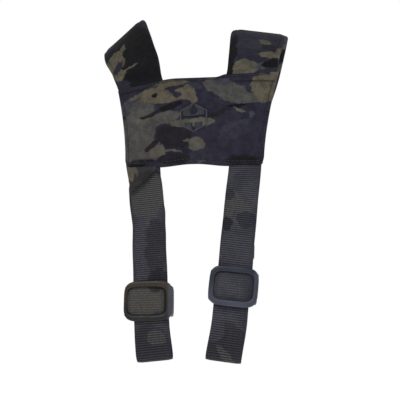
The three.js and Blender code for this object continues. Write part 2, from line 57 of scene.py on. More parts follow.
# ---- Sizes, the same as the part's ----
YOKE_TOP_HALF = 68.5
YOKE_BOTTOM_HALF = 55
YOKE_TOP = 38
YOKE_BOTTOM = -40
YOKE_HEIGHT = YOKE_TOP - YOKE_BOTTOM
YOKE_SIDE_CURVE = 1.6  # how late the sides flare towards the top
YOKE_ARCH = 2.1  # how far the bottom edge rises between the lower straps
YOKE_RIGHT_RISE = 2.4  # how much higher the top edge is at the right strap
YOKE_RIGHT_LEAN = 0.045  # rise of that edge for each millimetre sideways
YOKE_DEPTH = 5.3
YOKE_FLAT_HALF = 14
YOKE_BEND = 14
TOP_SLOPE = {"left": 21, "right": 1}
BOTTOM_SLOPE = 4

PAD_SEAM_WIDTH = 42
PAD_CREST_WIDTH = 55
PAD_END_WIDTH = 40
PAD_DEPTH = 6.6
PAD_LENGTH = 285
PAD_STITCH = 4  # from a padded strap's edge to its topstitching
CREST_AT = 150
PAD_SEAM_OFFSET = 47.6  # from the middle of the yoke to the middle of the strap's seam
LOWER_SEAM_OFFSET = 40.1
SEAM_SKEW_LENGTH = 40
SEAM_HALF = 1.2  # half thickness of a padded strap where the yoke's edge pinches it
SEAM_TUCK = 1.0  # how far inward it lies there

WEB_WIDTH = 25.4
WEB_THICKNESS = 1.6
WEB_PITCH = 2.6  # between the middles of a folded strap's two runs
WEB_OVERLAP = 38
LOWER_LOOP_RADIUS = 4.8
LOWER_LOOP_FLARE = 20
LOWER_TAIL_START = 20
BAR_LOOP_RADIUS = 3.38
BAR_LOOP_FLARE = 14
FRONT_RETURN = 62
FRONT_OFFSET = 4.4
KEEPER_PLACE = 34  # from the end of the front webbing's line to the keeper
RIB_PITCH = 1.65

SLIDER_WIDTH = 36
SLIDER_HEIGHT = 29.5
SLIDER_BAR = 4.6
SLIDER_SIDE = 2.9
SLIDER_RIM = 3.8  # width of the front ring's sides, which lap over the walls
KEEPER_WIDTH = 34
WINDOW_SHIFT = -1.4  # the left slider's window is off its middle, as it is turned a little
SLIDER_FRONT = -4.05
SLIDER_FRONT_BACK = -1.25
SLIDER_DEEP = 6.25
SLIDER_AT = {"left": 104, "right": 93.5}
SLIDER_SHIFT = {"left": -1.3, "right": 1.4}
SLIDER_TILT = {"left": 2.4, "right": -1}  # degrees

SHOULDER_ROUTE = {
    "left": [(-55.5, 22, 66), (-68.5, 42, 98), (-80, 76, 131), (-83.5, 112, 142.5), (-80.5, 147, 128),
             (-75, 168, 90), (-70, 176, 45), (-67, 177, 0), (-64.5, 176, -62)],
    "right": [(50, 12, 68), (54, 36, 98), (58, 75, 127), (58.5, 112, 137), (53, 147, 123),
              (43, 168, 88), (38, 176, 45), (35.5, 177, 0), (32.5, 176, -62)],
}
CREST_ACROSS = {"left": (0.79, -0.44, 0.41), "right": (0.985, 0.1, -0.12)}
FRONT_ACROSS = {"left": (0.995, 0.08, 0.05), "right": (0.995, -0.08, -0.1)}
LOWER_ROUTE = {
    "left": [(-37.1, -1.8, -55), (-33.7, -2, -87), (-32.5, -2, -107), (-31.2, -2, -128),
             (-30, -2, -148), (-28.7, -2, -168.4), (-26.9, -2, -186)],
    "right": [(38.6, -1.8, -55), (37.1, -2, -68), (33.5, -2, -98), (29.8, -2, -128),
              (26.1, -2, -158), (22.6, -2, -186)],
}


def smoothstep(x, low, high):
    t = np.clip((np.asarray(x, float) - low) / (high - low), 0, 1)
    return t * t * (3 - 2 * t)


def unit(v):
    v = np.asarray(v, float)
    return v / np.linalg.norm(v, axis=-1, keepdims=True)


def points_of(x, y, z):
    """Points, one a row, from grids of their places."""
    return np.stack(np.broadcast_arrays(x, y, z), -1).reshape(-1, 3)


# ---- Camera ----
def make_camera():
    azimuth, elevation, distance = math.radians(4.86), math.radians(-17.5), 420
    aim = Vector((5.17, 0, -66.9))
    back = Vector((
        math.sin(azimuth) * math.cos(elevation),
        -math.cos(azimuth) * math.cos(elevation),
        math.sin(elevation),
    ))
    data = bpy.data.cameras.new("camera")
    data.sensor_width = 36
    data.lens = 48.9
    data.clip_start = 0.01
    data.clip_end = 50
    camera = bpy.data.objects.new("camera", data)
    bpy.context.scene.collection.objects.link(camera)
    turn = (-back).to_track_quat("-Z", "Y").to_matrix().to_4x4()
    roll = Matrix.Rotation(math.radians(0.55), 4, "Z")
    camera.matrix_world = Matrix.Translation((aim + back * distance) * MM) @ turn @ roll
    bpy.context.scene.camera = camera


# ---- Strap lines ----
class StrapLine:
    """A strap's middle line, a centripetal Catmull-Rom curve, with a frame at each distance."""

    def __init__(self, points, keys, outward):
        self.points = self.curve(np.array(points, float))
        steps = np.linalg.norm(np.diff(self.points, axis=0), axis=1)
        self.run = np.concatenate([[0], np.cumsum(steps)])
        self.length = self.run[-1]
        self.tangents = unit(np.gradient(self.points, self.run, axis=0))
        self.keys = keys
        self.outward = outward

    @staticmethod
    def curve(p, steps=200):
        first, last = 2 * p[0] - p[1], 2 * p[-1] - p[-2]
        p = np.vstack([first, p, last])
        out = []
        for i in range(1, len(p) - 2):
            a, b, c, d = p[i - 1 : i + 3]
            d0, d1, d2 = (max(np.linalg.norm(y - x) ** 0.5, 1e-4) for x, y in ((a, b), (b, c), (c, d)))
            t1 = ((b - a) / d0 - (c - a) / (d0 + d1) + (c - b) / d1) * d1
            t2 = ((c - b) / d1 - (d - b) / (d1 + d2) + (d - c) / d2) * d1
            t = np.linspace(0, 1, steps, endpoint=False)[:, None]
            out.append(b + t1 * t + (3 * (c - b) - 2 * t1 - t2) * t**2 + (2 * (b - c) + t1 + t2) * t**3)
        return np.vstack(out + [p[-2][None]])

    def frame(self, s):
        s = np.atleast_1d(np.asarray(s, float))
        inside = np.clip(s, 0, self.length)
        pick = lambda table: np.stack([np.interp(inside, self.run, table[:, k]) for k in range(3)], 1)
        along = unit(pick(self.tangents))
        point = pick(self.points) + along * (s - inside)[:, None]
        across = np.zeros_like(along)
        for k in range(len(self.keys) - 1):
            (at0, dir0), (at1, dir1) = self.keys[k], self.keys[k + 1]
            here = (s >= at0) if k else np.ones(len(s), bool)
            part = smoothstep(s, at0, at1)[:, None]
            mixed = unit(unit(dir0) * (1 - part) + unit(dir1) * part)
            across[here] = mixed[here]
        square = smoothstep(s, 0, SEAM_SKEW_LENGTH) * (across * along).sum(1)
        across = unit(across - along * square[:, None])
        out = unit(np.cross(across, along)) * self.outward
        return point, along, across, out

    def at(self, s, sideways, outwards):
        """Points, one a row, from grids of distance, sideways and outwards place."""
        s, sideways, outwards = points_of(s, sideways, outwards).T
        point, _, across, out = self.frame(s)
        return point + across * sideways[:, None] + out * outwards[:, None]


def slope_at(x, z):
    top = np.where(np.asarray(x) < 0, TOP_SLOPE["left"], TOP_SLOPE["right"])
    return np.radians(BOTTOM_SLOPE + (top - BOTTOM_SLOPE) * (z - YOKE_BOTTOM) / YOKE_HEIGHT)


def fold_back(x, z):
    past = np.maximum(np.abs(x) - YOKE_FLAT_HALF, 0)
    bent = np.where(past < YOKE_BEND, past**2 / (2 * YOKE_BEND), past - YOKE_BEND / 2)
    return np.tan(slope_at(x, z)) * bent


def on_yoke(x, y, z):
    """Points of the yoke, bent back towards its sides."""
    return points_of(x, y + fold_back(x, z), z)


def joint_place(name):
    return np.array(joints[name]["pos_m"]) / MM, np.array(joints[name]["axis"])


def shoulder_line(side):
    seam, across = joint_place(f"shoulder_{side}_fold")
    keys = [
        (0, across),
        (CREST_AT * 0.75, CREST_ACROSS[side]),
        (CREST_AT * 1.35, CREST_ACROSS[side]),
        (PAD_LENGTH, FRONT_ACROSS[side]),
    ]
    return StrapLine([seam, *SHOULDER_ROUTE[side]], keys, 1)


def lower_line(side):
    seam, across = joint_place(f"lower_{side}_swing")
    points = [seam, *LOWER_ROUTE[side]]
    run = unit(np.array(points[-2], float) - np.array(points[2], float))
    level = unit((-run[2], 0, run[0]))
    return StrapLine(points, [(0, across), (30, level), (200, level)], -1)


SHOULDER = {side: shoulder_line(side) for side in SIDES}
LOWER = {side: lower_line(side) for side in SIDES}


# ---- Meshes ----
def make_object(name, points, faces, cloth=None, material=None, closed=True):
    """A mesh object from points in millimetres. cloth is each point's place on the flat cloth. The
    faces of a closed one are turned outward."""
    mesh = bpy.data.meshes.new(name)
    mesh.from_pydata([tuple(p) for p in np.asarray(points) * MM], [], [tuple(f) for f in faces])
    if cloth is not None:
        attribute = mesh.attributes.new("cloth", "FLOAT_VECTOR", "POINT")
        attribute.data.foreach_set("vector", np.asarray(cloth, np.float32).ravel())
    mesh.polygons.foreach_set("use_smooth", [True] * len(mesh.polygons))
    mesh.update()
    made = bpy.data.objects.new(name, mesh)
    bpy.context.scene.collection.objects.link(made)
    if material is not None:
        mesh.materials.append(MATERIALS[material])
    if closed:
        face_outward(mesh)
    return made


def face_outward(mesh):
    bm = bmesh.new()
    bm.from_mesh(mesh)
    bmesh.ops.recalc_face_normals(bm, faces=bm.faces)
    bm.to_mesh(mesh)
    bm.free()


def loft_faces(rings, count, first=0, closed=False):
    """Faces round a loft of rings with count points each, with a cap at each end unless closed."""
    faces = []
    spans = rings if closed else rings - 1
    for r in range(spans):
        here = first + r * count
        there = first + ((r + 1) % rings) * count
        for k in range(count):
            n = (k + 1) % count
            faces.append((here + k, there + k, there + n, here + n))
    if not closed:
        last = first + (rings - 1) * count
        faces.append(tuple(first + k for k in range(count)))
        faces.append(tuple(last + k for k in reversed(range(count))))
    return faces


def finish_piece(made, body, replaces=()):
    if body is not None:
        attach(made, body)
    if replaces:
        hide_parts(*replaces)
    return made


def squared(v, power):
    """Sines or cosines drawn towards 1 and -1, which makes a circle squarer."""
    return np.sign(v) * np.abs(v) ** power


def rounded(near, radius):
    """A quarter round: 0 at an edge and 1 from radius inward."""
    return np.sqrt(np.clip(1 - (1 - np.clip(near / radius, 0, 1)) ** 2, 0, 1))


def ring_angles(count):
    return np.linspace(0, 2 * math.pi, count, endpoint=False)


def grid_quads(rows, columns):
    """The faces of a grid of points."""
    corners = [r * columns + c for r in range(rows - 1) for c in range(columns - 1)]
    return [(a, a + 1, a + columns + 1, a + columns) for a in corners]


def grid_ring(rows, columns):
    """The points round the edge of a grid, in order."""
    ring = list(range(columns)) + [r * columns + columns - 1 for r in range(1, rows)]
    ring += [(rows - 1) * columns + c for c in range(columns - 2, -1, -1)]
    return ring + [r * columns for r in range(rows - 2, 0, -1)]


def cloth_relief(columns, rows, width, height, pressure, swell, pinned):
    """Simulates a flat cloth panel sewn down where pinned(u, v) says, and returns how far each of its
    points stands out, in millimetres, as an array of rows by columns."""
    scale = 0.01  # simulated ten times larger than life, where the solver works best
    u, v = np.meshgrid(np.linspace(0, 1, columns), np.linspace(0, 1, rows))
    points = points_of((u - 0.5) * width * scale, 0, (v - 0.5) * height * scale)
    mesh = bpy.data.meshes.new("relief")
    mesh.from_pydata([tuple(p) for p in points], [], grid_quads(rows, columns))
    sheet = bpy.data.objects.new("relief", mesh)
    bpy.context.scene.collection.objects.link(sheet)
    group = sheet.vertex_groups.new(name="sewn")
    held = pinned(u, v).ravel()
    for i in np.nonzero(held > 0)[0]:
        group.add([int(i)], float(held[i]), "REPLACE")
    cloth = sheet.modifiers.new("cloth", "CLOTH")
    settings = cloth.settings
    settings.vertex_group_mass = "sewn"
    settings.quality = 6
    settings.mass = 0.15
    settings.tension_stiffness = settings.compression_stiffness = 25
    settings.shear_stiffness = 12
    settings.bending_stiffness = 0.6
    settings.shrink_min = settings.shrink_max = -swell
    scene = bpy.context.scene
    old_gravity = tuple(scene.gravity)
    scene.gravity = (0, -pressure, 0)
    frames = 18
    cloth.point_cache.frame_start = 1
    cloth.point_cache.frame_end = frames
    for frame_number in range(1, frames + 1):
        scene.frame_set(frame_number)
    moved = sheet.evaluated_get(bpy.context.evaluated_depsgraph_get())
    co = np.zeros(len(mesh.vertices) * 3, np.float32)
    moved.data.vertices.foreach_get("co", co)
    scene.frame_set(1)
    scene.gravity = old_gravity
    bpy.data.objects.remove(sheet)
    return -co.reshape(rows, columns, 3)[:, :, 1] / scale


def sample(table, u, v):
    """Reads a table of rows by columns at u, v from 0 to 1, bilinearly."""
    rows, columns = table.shape
    x = np.clip(u, 0, 1) * (columns - 1)
    y = np.clip(v, 0, 1) * (rows - 1)
    x0 = np.minimum(x.astype(int), columns - 2)
    y0 = np.minimum(y.astype(int), rows - 2)
    fx, fy = x - x0, y - y0
    low = table[y0, x0] * (1 - fx) + table[y0, x0 + 1] * fx
    high = table[y0 + 1, x0] * (1 - fx) + table[y0 + 1, x0 + 1] * fx
    return low * (1 - fy) + high * fy


# ---- Materials ----
class Shader:
    """One material's nodes, made by short calls."""

    def __init__(self, name):
        self.material = bpy.data.materials.new(name)
        self.material.use_nodes = True
        tree = self.material.node_tree
        self.nodes = tree.nodes
        self.links = tree.links
        self.surface = tree.nodes["Principled BSDF"]

    def put(self, socket, value):
        """Sets or links a socket. None leaves it as it is."""
        if value is None:
            return
        if isinstance(value, bpy.types.NodeSocket):
            self.links.new(value, socket)
        elif isinstance(value, (tuple, list)) and len(value) == 3 and socket.type == "RGBA":
            socket.default_value = (*value, 1)
        else:
            socket.default_value = value

    def node(self, kind, inputs=None, **settings):
        made = self.nodes.new(kind)
        for key, value in settings.items():
            setattr(made, key, value)
        for key, value in (inputs or {}).items():
            self.put(made.inputs[key], value)
        return made

    def finish(self, colour, rough, sheen=0.0, specular=0.5, normal=None):
        """Sets the surface and gives the material."""
        values = {"Base Color": colour, "Roughness": rough, "Sheen Weight": sheen,
                  "Specular IOR Level": specular, "Normal": normal}
        for name, value in values.items():
            self.put(self.surface.inputs[name], value)
        return self.material

    def math(self, operation, a, b=0.0):
        return self.node("ShaderNodeMath", {0: a, 1: b}, operation=operation).outputs[0]

    def vector(self, operation, a, b=(0, 0, 0)):
        made = self.node("ShaderNodeVectorMath", {0: a, 1: b}, operation=operation)
        return made.outputs["Value" if operation == "LENGTH" else "Vector"]

    def cloth(self):
        """The place on the flat cloth, in millimetres."""
        return self.node("ShaderNodeAttribute", attribute_name="cloth").outputs["Vector"]

    def noise(self, place, scale, detail=2.0, rough=0.5, output="Fac"):
        inputs = {"Vector": place, "Scale": scale, "Detail": detail, "Roughness": rough}
        return self.node("ShaderNodeTexNoise", inputs).outputs[output]

    def spread(self, value, low, high, to_low=0.0, to_high=1.0, smooth=True):
        inputs = {"Value": value, "From Min": low, "From Max": high, "To Min": to_low, "To Max": to_high}
        kind = "SMOOTHSTEP" if smooth else "LINEAR"
        return self.node("ShaderNodeMapRange", inputs, interpolation_type=kind).outputs["Result"]

    def mix(self, share, a, b):
        return self.node("ShaderNodeMix", {0: share, 6: a, 7: b}, data_type="RGBA").outputs[2]

    def tint(self, colour, share, amount):
        """Lightens and darkens a colour by share, which is about a half in the middle."""
        factor = self.spread(share, 0.25, 0.75, 1 - amount, 1 + amount, smooth=False)
        return self.vector("MULTIPLY", colour, self.grey(factor))

    def plain(self, colour):
        """A colour as a socket."""
        return self.mix(0.0, colour, colour)

    def grey(self, value):
        return self.node("ShaderNodeCombineXYZ", {0: value, 1: value, 2: value}).outputs[0]

    def parts(self, place):
        return tuple(self.node("ShaderNodeSeparateXYZ", {0: place}).outputs)

    def wave(self, value, pitch):
        return self.math("SINE", self.math("MULTIPLY", value, 2 * math.pi / pitch))

    def bump(self, height, distance, strength=1.0, normal=None):
        inputs = {"Height": height, "Distance": distance, "Strength": strength, "Normal": normal}
        return self.node("ShaderNodeBump", inputs).outputs["Normal"]

    def blotch(self, place, x, y, wide, tall, turn):
        """1 inside an ellipse of the cloth and 0 outside it."""
        soft = 0.08  # share of the radius over which its edge fades
        inputs = {"Vector": place, "Location": (x, y, 0), "Rotation": (0, 0, math.radians(turn)),
                  "Scale": (wide, tall, 1)}
        local = self.node("ShaderNodeMapping", inputs, vector_type="TEXTURE").outputs[0]
        return self.spread(self.vector("LENGTH", local), 1 - soft, 1 + soft, 1, 0)


# Cloth colours, linear.
NIGHT = (0.0145, 0.0136, 0.0218)
BLACK = (0.0046, 0.0041, 0.0050)
BROWN_BLACK = (0.0105, 0.0092, 0.0115)
TAN = (0.064, 0.055, 0.0395)
OLIVE = (0.058, 0.054, 0.043)
MOSS = (0.046, 0.044, 0.042)
SLATE = (0.036, 0.035, 0.044)
COVER_DARK = (0.0230, 0.0210, 0.0215)
DUSK = (0.0195, 0.0186, 0.0275)
WEB_DARK = (0.0270, 0.0258, 0.0350)
WEB_NIGHT = (0.0170, 0.0158, 0.0195)
WEB_LIGHT = (0.040, 0.039, 0.0475)

# Blotches of the print, and in the lower straps' lists painted shade and a painted shadow too: colour,
# centre (two values), radii (two values), turn in degrees. The later ones lie over the earlier ones. The
# yoke's cloth runs with X and Z, as does the strap cover's.
YOKE_PRINT = [
    (SLATE, -52, 17, 12, 9, 15), (DUSK, -5, 29, 11, 4, -6), (DUSK, 10, -33, 16, 7, 3),
    (DUSK, 36, -10, 17, 7, 24), (BROWN_BLACK, 41, -36, 15, 4.5, 0), (MOSS, -45, -7, 14.5, 29, -3),
    (MOSS, -33, -27, 9, 10, 0), (MOSS, -26, 1, 17, 5.5, 12), (OLIVE, -41, 3, 7, 3.4, 30),
    (OLIVE, -28, -29, 6, 5, 20), (OLIVE, -17.5, -28.4, 7.5, 0.9, 0), (BROWN_BLACK, -16, -16, 13, 10, -6),
    (BROWN_BLACK, -23, -14, 6, 8, 0), (BROWN_BLACK, -33, -22.5, 6.5, 2.7, 38),
    (BROWN_BLACK, -16, -34.5, 13, 4.2, 4), (BROWN_BLACK, -30, 7, 15, 2.2, 13),
    (BLACK, -19, 11, 10, 2.3, 12), (OLIVE, -1, -4, 19, 3.8, 1), (OLIVE, 2, -22.5, 6.6, 6, -4),
    (OLIVE, -5, -19, 4.2, 1.2, -8), (TAN, -32, 22.5, 13, 7.6, -14), (TAN, -44, 28, 13, 2.4, 22),
    (TAN, -19, 17.5, 9, 3.2, 4), (TAN, -24, 32, 18, 4, 4), (TAN, -7, 22.5, 9.5, 6.6, -16),
    (TAN, -1, 17, 5, 4, -50), (NIGHT, -14.5, 20.5, 3.8, 3.2, 10), (NIGHT, -17, 28, 8, 2, 8),
    (BLACK, -31.6, 22.3, 2.5, 2.5, 0), (MOSS, 25, 26, 19, 9, -22), (MOSS, 38, 17, 20, 5, -8),
    (SLATE, 22, 33, 7, 4, 0), (TAN, 57, 26, 10.5, 13.5, 4), (TAN, 66, 34, 6, 9, 8),
    (NIGHT, 40, 33, 8, 6, -10), (BLACK, 34, 10.5, 9, 1.1, 6), (BROWN_BLACK, 20, 3.5, 10, 2.2, 22),
    (OLIVE, 36, 7.3, 5.6, 1.4, -20), (SLATE, 46, 2.8, 2.8, 2, 40), (SLATE, 7, -37, 4, 0.8, 0),
    (NIGHT, -50, -37, 5, 2.4, 20), (NIGHT, -41, -36, 3, 2.2, -20), (NIGHT, -34, -37.5, 4, 2.4, 10),
    (BLACK, -45, -39, 9, 1.4, 0),
]
COVER_PRINT = [
    (COVER_DARK, -34, -44, 14, 12, 0), (TAN, -49, -44, 2.6, 7, 0), (MOSS, -44, -42, 2.5, 5, 10),
]
# A strap's cloth runs sideways from its middle and along it from the seam.
SHOULDER_PRINT = {
    "left": [
        (BLACK, 6, 40, 22, 62, 0), (TAN, -14, 60, 9, 11, 20), (TAN, -19, 40, 7, 24, 4),
        (TAN, -9, 46, 3, 13, -6), (TAN, -16, 19, 7, 9, -20), (OLIVE, -6, 24, 10, 2, 8),
        (TAN, -3, 66, 3, 7, -14), (NIGHT, -15, 37, 5, 10, -24), (BLACK, -18, 78, 9, 9, 0),
        (BROWN_BLACK, 0, 95, 12, 10, 0), (NIGHT, -17, 4, 8, 5, 0),
    ],
    "right": [
        (DUSK, -4, 40, 18, 12, 0), (OLIVE, -7, 1, 13, 10.5, 0), (TAN, -9, 2, 9, 7, 0),
        (SLATE, 8, 3, 5, 6, 20), (BLACK, -20, 22, 5, 40, 0), (BLACK, 16, 5, 9, 5.5, 0),
        (TAN, 13, 17, 9, 5, -10), (TAN, 22, 26, 5, 13, -14), (BROWN_BLACK, 12, 32, 6, 9, 30),
        (OLIVE, 8, 44, 4, 7, 30),
    ],
}
LOWER_PRINT_AND_SHADE = {
    "left": [
        # The first BLACK blotch, a thin line along the strap cover's slanted edge, is a painted shadow of
        # the cover's lifted edge on the webbing.
        (BLACK, 1.4, 11.8, 14.5, 1.6, -39), (OLIVE, 0, 104, 17, 10.5, 0), (MOSS, -2, 20, 16, 20, 10),
        (SLATE, -7, 62, 4, 24, 2), (WEB_NIGHT, 5, 66, 8, 24, 0), (BROWN_BLACK, 7, 88, 8, 9, 0),
        # The WEB_NIGHT blotch at 142 mm is painted shade, which makes the strap darker towards its lower
        # end.
        (WEB_NIGHT, -2, 142, 16, 22, 0), (MOSS, 3, 130, 7, 6, 20),
    ],
    "right": [
        (SLATE, 0, 66, 14, 13, 20), (MOSS, -4, 28, 14, 5, 45), (MOSS, -9, 34, 5, 11, 0),
        (NIGHT, -10, 23, 4, 5, 0), (NIGHT, 5, 42, 8, 6, 10), (BLACK, -9, 48, 4, 5, 10),
        # The WEB_NIGHT blotch at 140 mm is painted shade, which makes the strap darker towards its lower
        # end.
        (WEB_NIGHT, 0, 140, 18, 22, 0), (SLATE, -7, 126, 5, 8, 0), (MOSS, 1, 142, 9, 3, 40),
    ],
}


def wander(sh, place, wide, fine):
    """The cloth's place, moved about so that a blotch's edge is ragged."""
    slow = sh.vector("SUBTRACT", sh.noise(place, 0.07, 2, output="Color"), (0.5, 0.5, 0.5))
    quick = sh.vector("SUBTRACT", sh.noise(place, 0.32, 3, output="Color"), (0.5, 0.5, 0.5))
    moved = sh.vector("ADD", place, sh.vector("MULTIPLY", slow, (wide, wide, 0)))
    return sh.vector("ADD", moved, sh.vector("MULTIPLY", quick, (fine, fine, 0)))


def scattered_print(sh, place):
    """Blotches that no list places, for the cloth away from the main view."""
    ragged = wander(sh, place, 14, 3)
    stretched = sh.vector("MULTIPLY", ragged, (0.75, 1, 1))
    colour = sh.mix(sh.spread(sh.noise(stretched, 0.028, 1), 0.47, 0.5), NIGHT, DUSK)
    for seed, shade, low in ((40, MOSS, 0.55), (90, OLIVE, 0.6), (150, TAN, 0.62), (210, BLACK, 0.6)):
        shifted = sh.vector("ADD", stretched, (seed, seed * 0.7, 0))
        share = sh.spread(sh.noise(shifted, 0.032, 1), low, low + 0.012)
        colour = sh.mix(share, colour, shade)
    return colour


def painted(sh, colour, place, blotches, fade=1.0):
    """Lays a list's blotches over a colour, each with a share of fade."""
    ragged = wander(sh, place, 7, 4)
    for shade, *ellipse in blotches:
        share = sh.blotch(ragged, *ellipse)
        if fade < 1:
            share = sh.math("MULTIPLY", share, fade)
        colour = sh.mix(share, colour, shade)
    return colour


def plain_weave(sh, place, pitch):
    """Height of a plain weave of that thread pitch, from -1 to 1."""
    x, y, _ = sh.parts(place)
    over = sh.math("MULTIPLY", sh.wave(x, pitch * 2), sh.wave(y, pitch * 2))
    threads = sh.math("ADD", sh.wave(x, pitch), sh.wave(y, pitch))
    return sh.math("ADD", sh.math("MULTIPLY", over, 0.6), sh.math("MULTIPLY", threads, 0.2))


def print_material(name, blotches, ground=None):
    """Printed cloth. Where no ground is given, it is dark under the list's blotches, which lie in
    the first 95 mm or so from the seam, and has scattered blotches beyond them."""
    sh = Shader(name)
    place = sh.cloth()
    if ground is None:
        near = sh.spread(sh.parts(place)[1], 95, 108, 1, 0)
        ground = sh.mix(near, scattered_print(sh, place), NIGHT)
    colour = painted(sh, ground, place, blotches)
    weave = plain_weave(sh, place, 0.55)
    colour = sh.tint(colour, sh.noise(place, 0.05, 3), 0.26)
    colour = sh.tint(colour, sh.spread(sh.noise(place, 0.16, 4, 0.6), 0.36, 0.64), 0.13)
    # Painted shade: the weave's hollows are darker and its raised threads lighter.
    colour = sh.tint(colour, sh.math("ADD", sh.math("MULTIPLY", weave, 0.22), 0.5), 0.2)
    colour = sh.tint(colour, sh.noise(sh.vector("MULTIPLY", place, (2.5, 0.35, 1)), 1.0, 2), 0.2)
    rough = sh.spread(sh.noise(place, 0.6, 3), 0.3, 0.7, 0.72, 0.9, smooth=False)
    crumple = sh.bump(sh.noise(place, 0.11, 4, 0.55), 0.0012, 0.8)
    return sh.finish(colour, rough, 0.01, 0.06, sh.bump(weave, 0.00009, 0.8, crumple))


def webbing_material(name, blotches, rib_shade_low=0.3, rib_shade_high=1.45):
    sh = Shader(name)
    place = sh.cloth()
    x, run, _ = sh.parts(place)
    ground = sh.mix(sh.spread(sh.noise(place, 0.04, 2), 0.4, 0.6), WEB_DARK, WEB_LIGHT)
    colour = painted(sh, ground, place, blotches, 0.75)
    # Painted shade: each rib's groove is darker and its ridge lighter, scaled from rib_shade_low to
    # rib_shade_high. The bands along both selvedges are darker.
    rib = sh.spread(sh.wave(run, RIB_PITCH), -1, 1, rib_shade_low, rib_shade_high, smooth=False)
    yarn = sh.wave(x, 0.62)
    fine = sh.math("MULTIPLY", yarn, sh.wave(run, RIB_PITCH / 2))
    edge = sh.spread(sh.math("ABSOLUTE", x), WEB_WIDTH / 2 - 1.9, WEB_WIDTH / 2 - 1.1)
    shade = sh.mix(edge, sh.grey(rib), (0.72, 0.72, 0.74))
    colour = sh.vector("MULTIPLY", colour, shade)
    colour = sh.tint(colour, sh.noise(place, 0.5, 3), 0.18)
    fuzz = sh.bump(sh.noise(place, 2.2, 2), 0.0001, 0.5)
    return sh.finish(colour, 0.62, 0.01, 0.12, sh.bump(fine, 0.0001, 0.8, fuzz))


def lining_material():
    sh = Shader("spacer_mesh")
    place = sh.cloth()
    cells = {"Vector": place, "Scale": 0.42, "Randomness": 0.12}
    hole = sh.node("ShaderNodeTexVoronoi", cells).outputs["Distance"]
    # Painted shade: the mesh's holes are darker than its threads.
    pit = sh.spread(hole, 0.25, 0.5)
    colour = sh.mix(pit, (0.004, 0.004, 0.0045), (0.02, 0.02, 0.022))
    colour = sh.tint(colour, sh.noise(place, 0.08, 3), 0.25)
    return sh.finish(colour, 0.85, 0.3, normal=sh.bump(pit, 0.0006, 0.9))


def plastic_material(name, colour, worn, low=None, right=None):
    """Moulded plastic. A slider's low and right colours, where given, are painted light and shade on its
    bottom bar and right-hand wall.
    """
    sh = Shader(name)
    place = sh.node("ShaderNodeTexCoord").outputs["Object"]
    grain = sh.noise(place, 2600, 2)
    cloudy = sh.noise(place, 90, 3)
    body = sh.plain(colour)
    if low is not None:
        x, _, z = sh.parts(sh.cloth())
        # Painted light and shade: the colour turns to low towards the bottom bar and to right at the
        # right-hand wall.
        body = sh.mix(sh.spread(z, -9, 5, 1, 0), body, low)
        body = sh.mix(sh.spread(x, 13.4, 16), body, right)
    body = sh.tint(body, cloudy, 0.22)
    edges = sh.node("ShaderNodeNewGeometry").outputs["Pointiness"]
    rubbed = sh.math("MULTIPLY", sh.spread(edges, 0.52, 0.62), sh.spread(cloudy, 0.35, 0.65))
    colour = sh.mix(sh.math("MULTIPLY", rubbed, 0.6), body, worn)
    rough = sh.spread(sh.noise(place, 300, 3), 0.3, 0.7, 0.36, 0.52, smooth=False)
    return sh.finish(colour, rough, specular=0.26, normal=sh.bump(grain, 0.00005, 0.6))


def thread_material(name, colour, shine=0.3, rough=0.5):
    sh = Shader(name)
    place = sh.node("ShaderNodeTexCoord").outputs["Object"]
    twist = sh.noise(place, 3000, 2)
    return sh.finish(sh.tint(sh.plain(colour), twist, 0.35), rough, 0.03, shine, sh.bump(twist, 0.0001, 0.6))


MATERIALS = {
    "yoke": print_material("yoke_print", YOKE_PRINT, NIGHT),
    "cover": print_material("cover_print", COVER_PRINT, COVER_DARK),
    "lining": lining_material(),
    # The sliders' last two colours are painted light and shade: the left slider gets a shaded dark bottom
    # bar and a lit grey right-hand wall, the right slider a lit lighter bottom bar and right-hand wall.
    "slider_left": plastic_material("slider_brown_black", (0.017, 0.0115, 0.0055), (0.05, 0.043, 0.035),
                                    (0.0045, 0.004, 0.004), (0.034, 0.034, 0.043)),
    # The right slider is black plastic. The blue in its colour is a painted blue cast of the light from the
    # right.
    "slider_right": plastic_material("slider_black_painted_blue_light", (0.0105, 0.012, 0.0205), (0.06, 0.066, 0.09),
                                     (0.029, 0.032, 0.046), (0.028, 0.032, 0.045)),
    "plastic": plastic_material("black_plastic", (0.016, 0.0165, 0.019), (0.06, 0.06, 0.065)),
    "thread": thread_material("dark_thread", (0.0065, 0.0062, 0.0075), 0.08, 0.7),
    "thread_seam": thread_material("seam_thread", (0.0125, 0.0118, 0.0135)),
    "badge": thread_material("badge_thread", (0.0052, 0.0062, 0.0115), 0.38, 0.3),
}
for each_side in SIDES:
    shoulder, web = SHOULDER_PRINT[each_side], LOWER_PRINT_AND_SHADE[each_side]
    MATERIALS[f"shoulder_{each_side}"] = print_material(f"shoulder_print_{each_side}", shoulder)
    MATERIALS[f"web_{each_side}"] = webbing_material(f"webbing_{each_side}", web)
    # The window webbing has softer painted rib shade.
    MATERIALS[f"window_{each_side}"] = webbing_material(f"window_webbing_{each_side}", web, 0.6, 1.2)


# ---- Yoke ----
HEM_STITCH = 3.2  # from the yoke's edge to its topstitching


def straight_half(share):
    """The yoke's half width at a share of its height, if its sides were straight."""
    return YOKE_BOTTOM_HALF + (YOKE_TOP_HALF - YOKE_BOTTOM_HALF) * share


def yoke_half(z):
    """The yoke's half width at a height: its sides are hollow and flare towards the top."""
    return straight_half(np.clip((z - YOKE_BOTTOM) / YOKE_HEIGHT, 0, None) ** YOKE_SIDE_CURVE)


def yoke_edges(x):
    """The yoke's lowest and highest place at each x."""
    low = YOKE_BOTTOM + YOKE_ARCH * (1 - smoothstep(np.abs(x), 2, 26))
    high = YOKE_TOP + YOKE_RIGHT_RISE * smoothstep(x, 17.6, 25.6)
    return low, high + YOKE_RIGHT_LEAN * np.maximum(0, np.asarray(x) - 26.6)


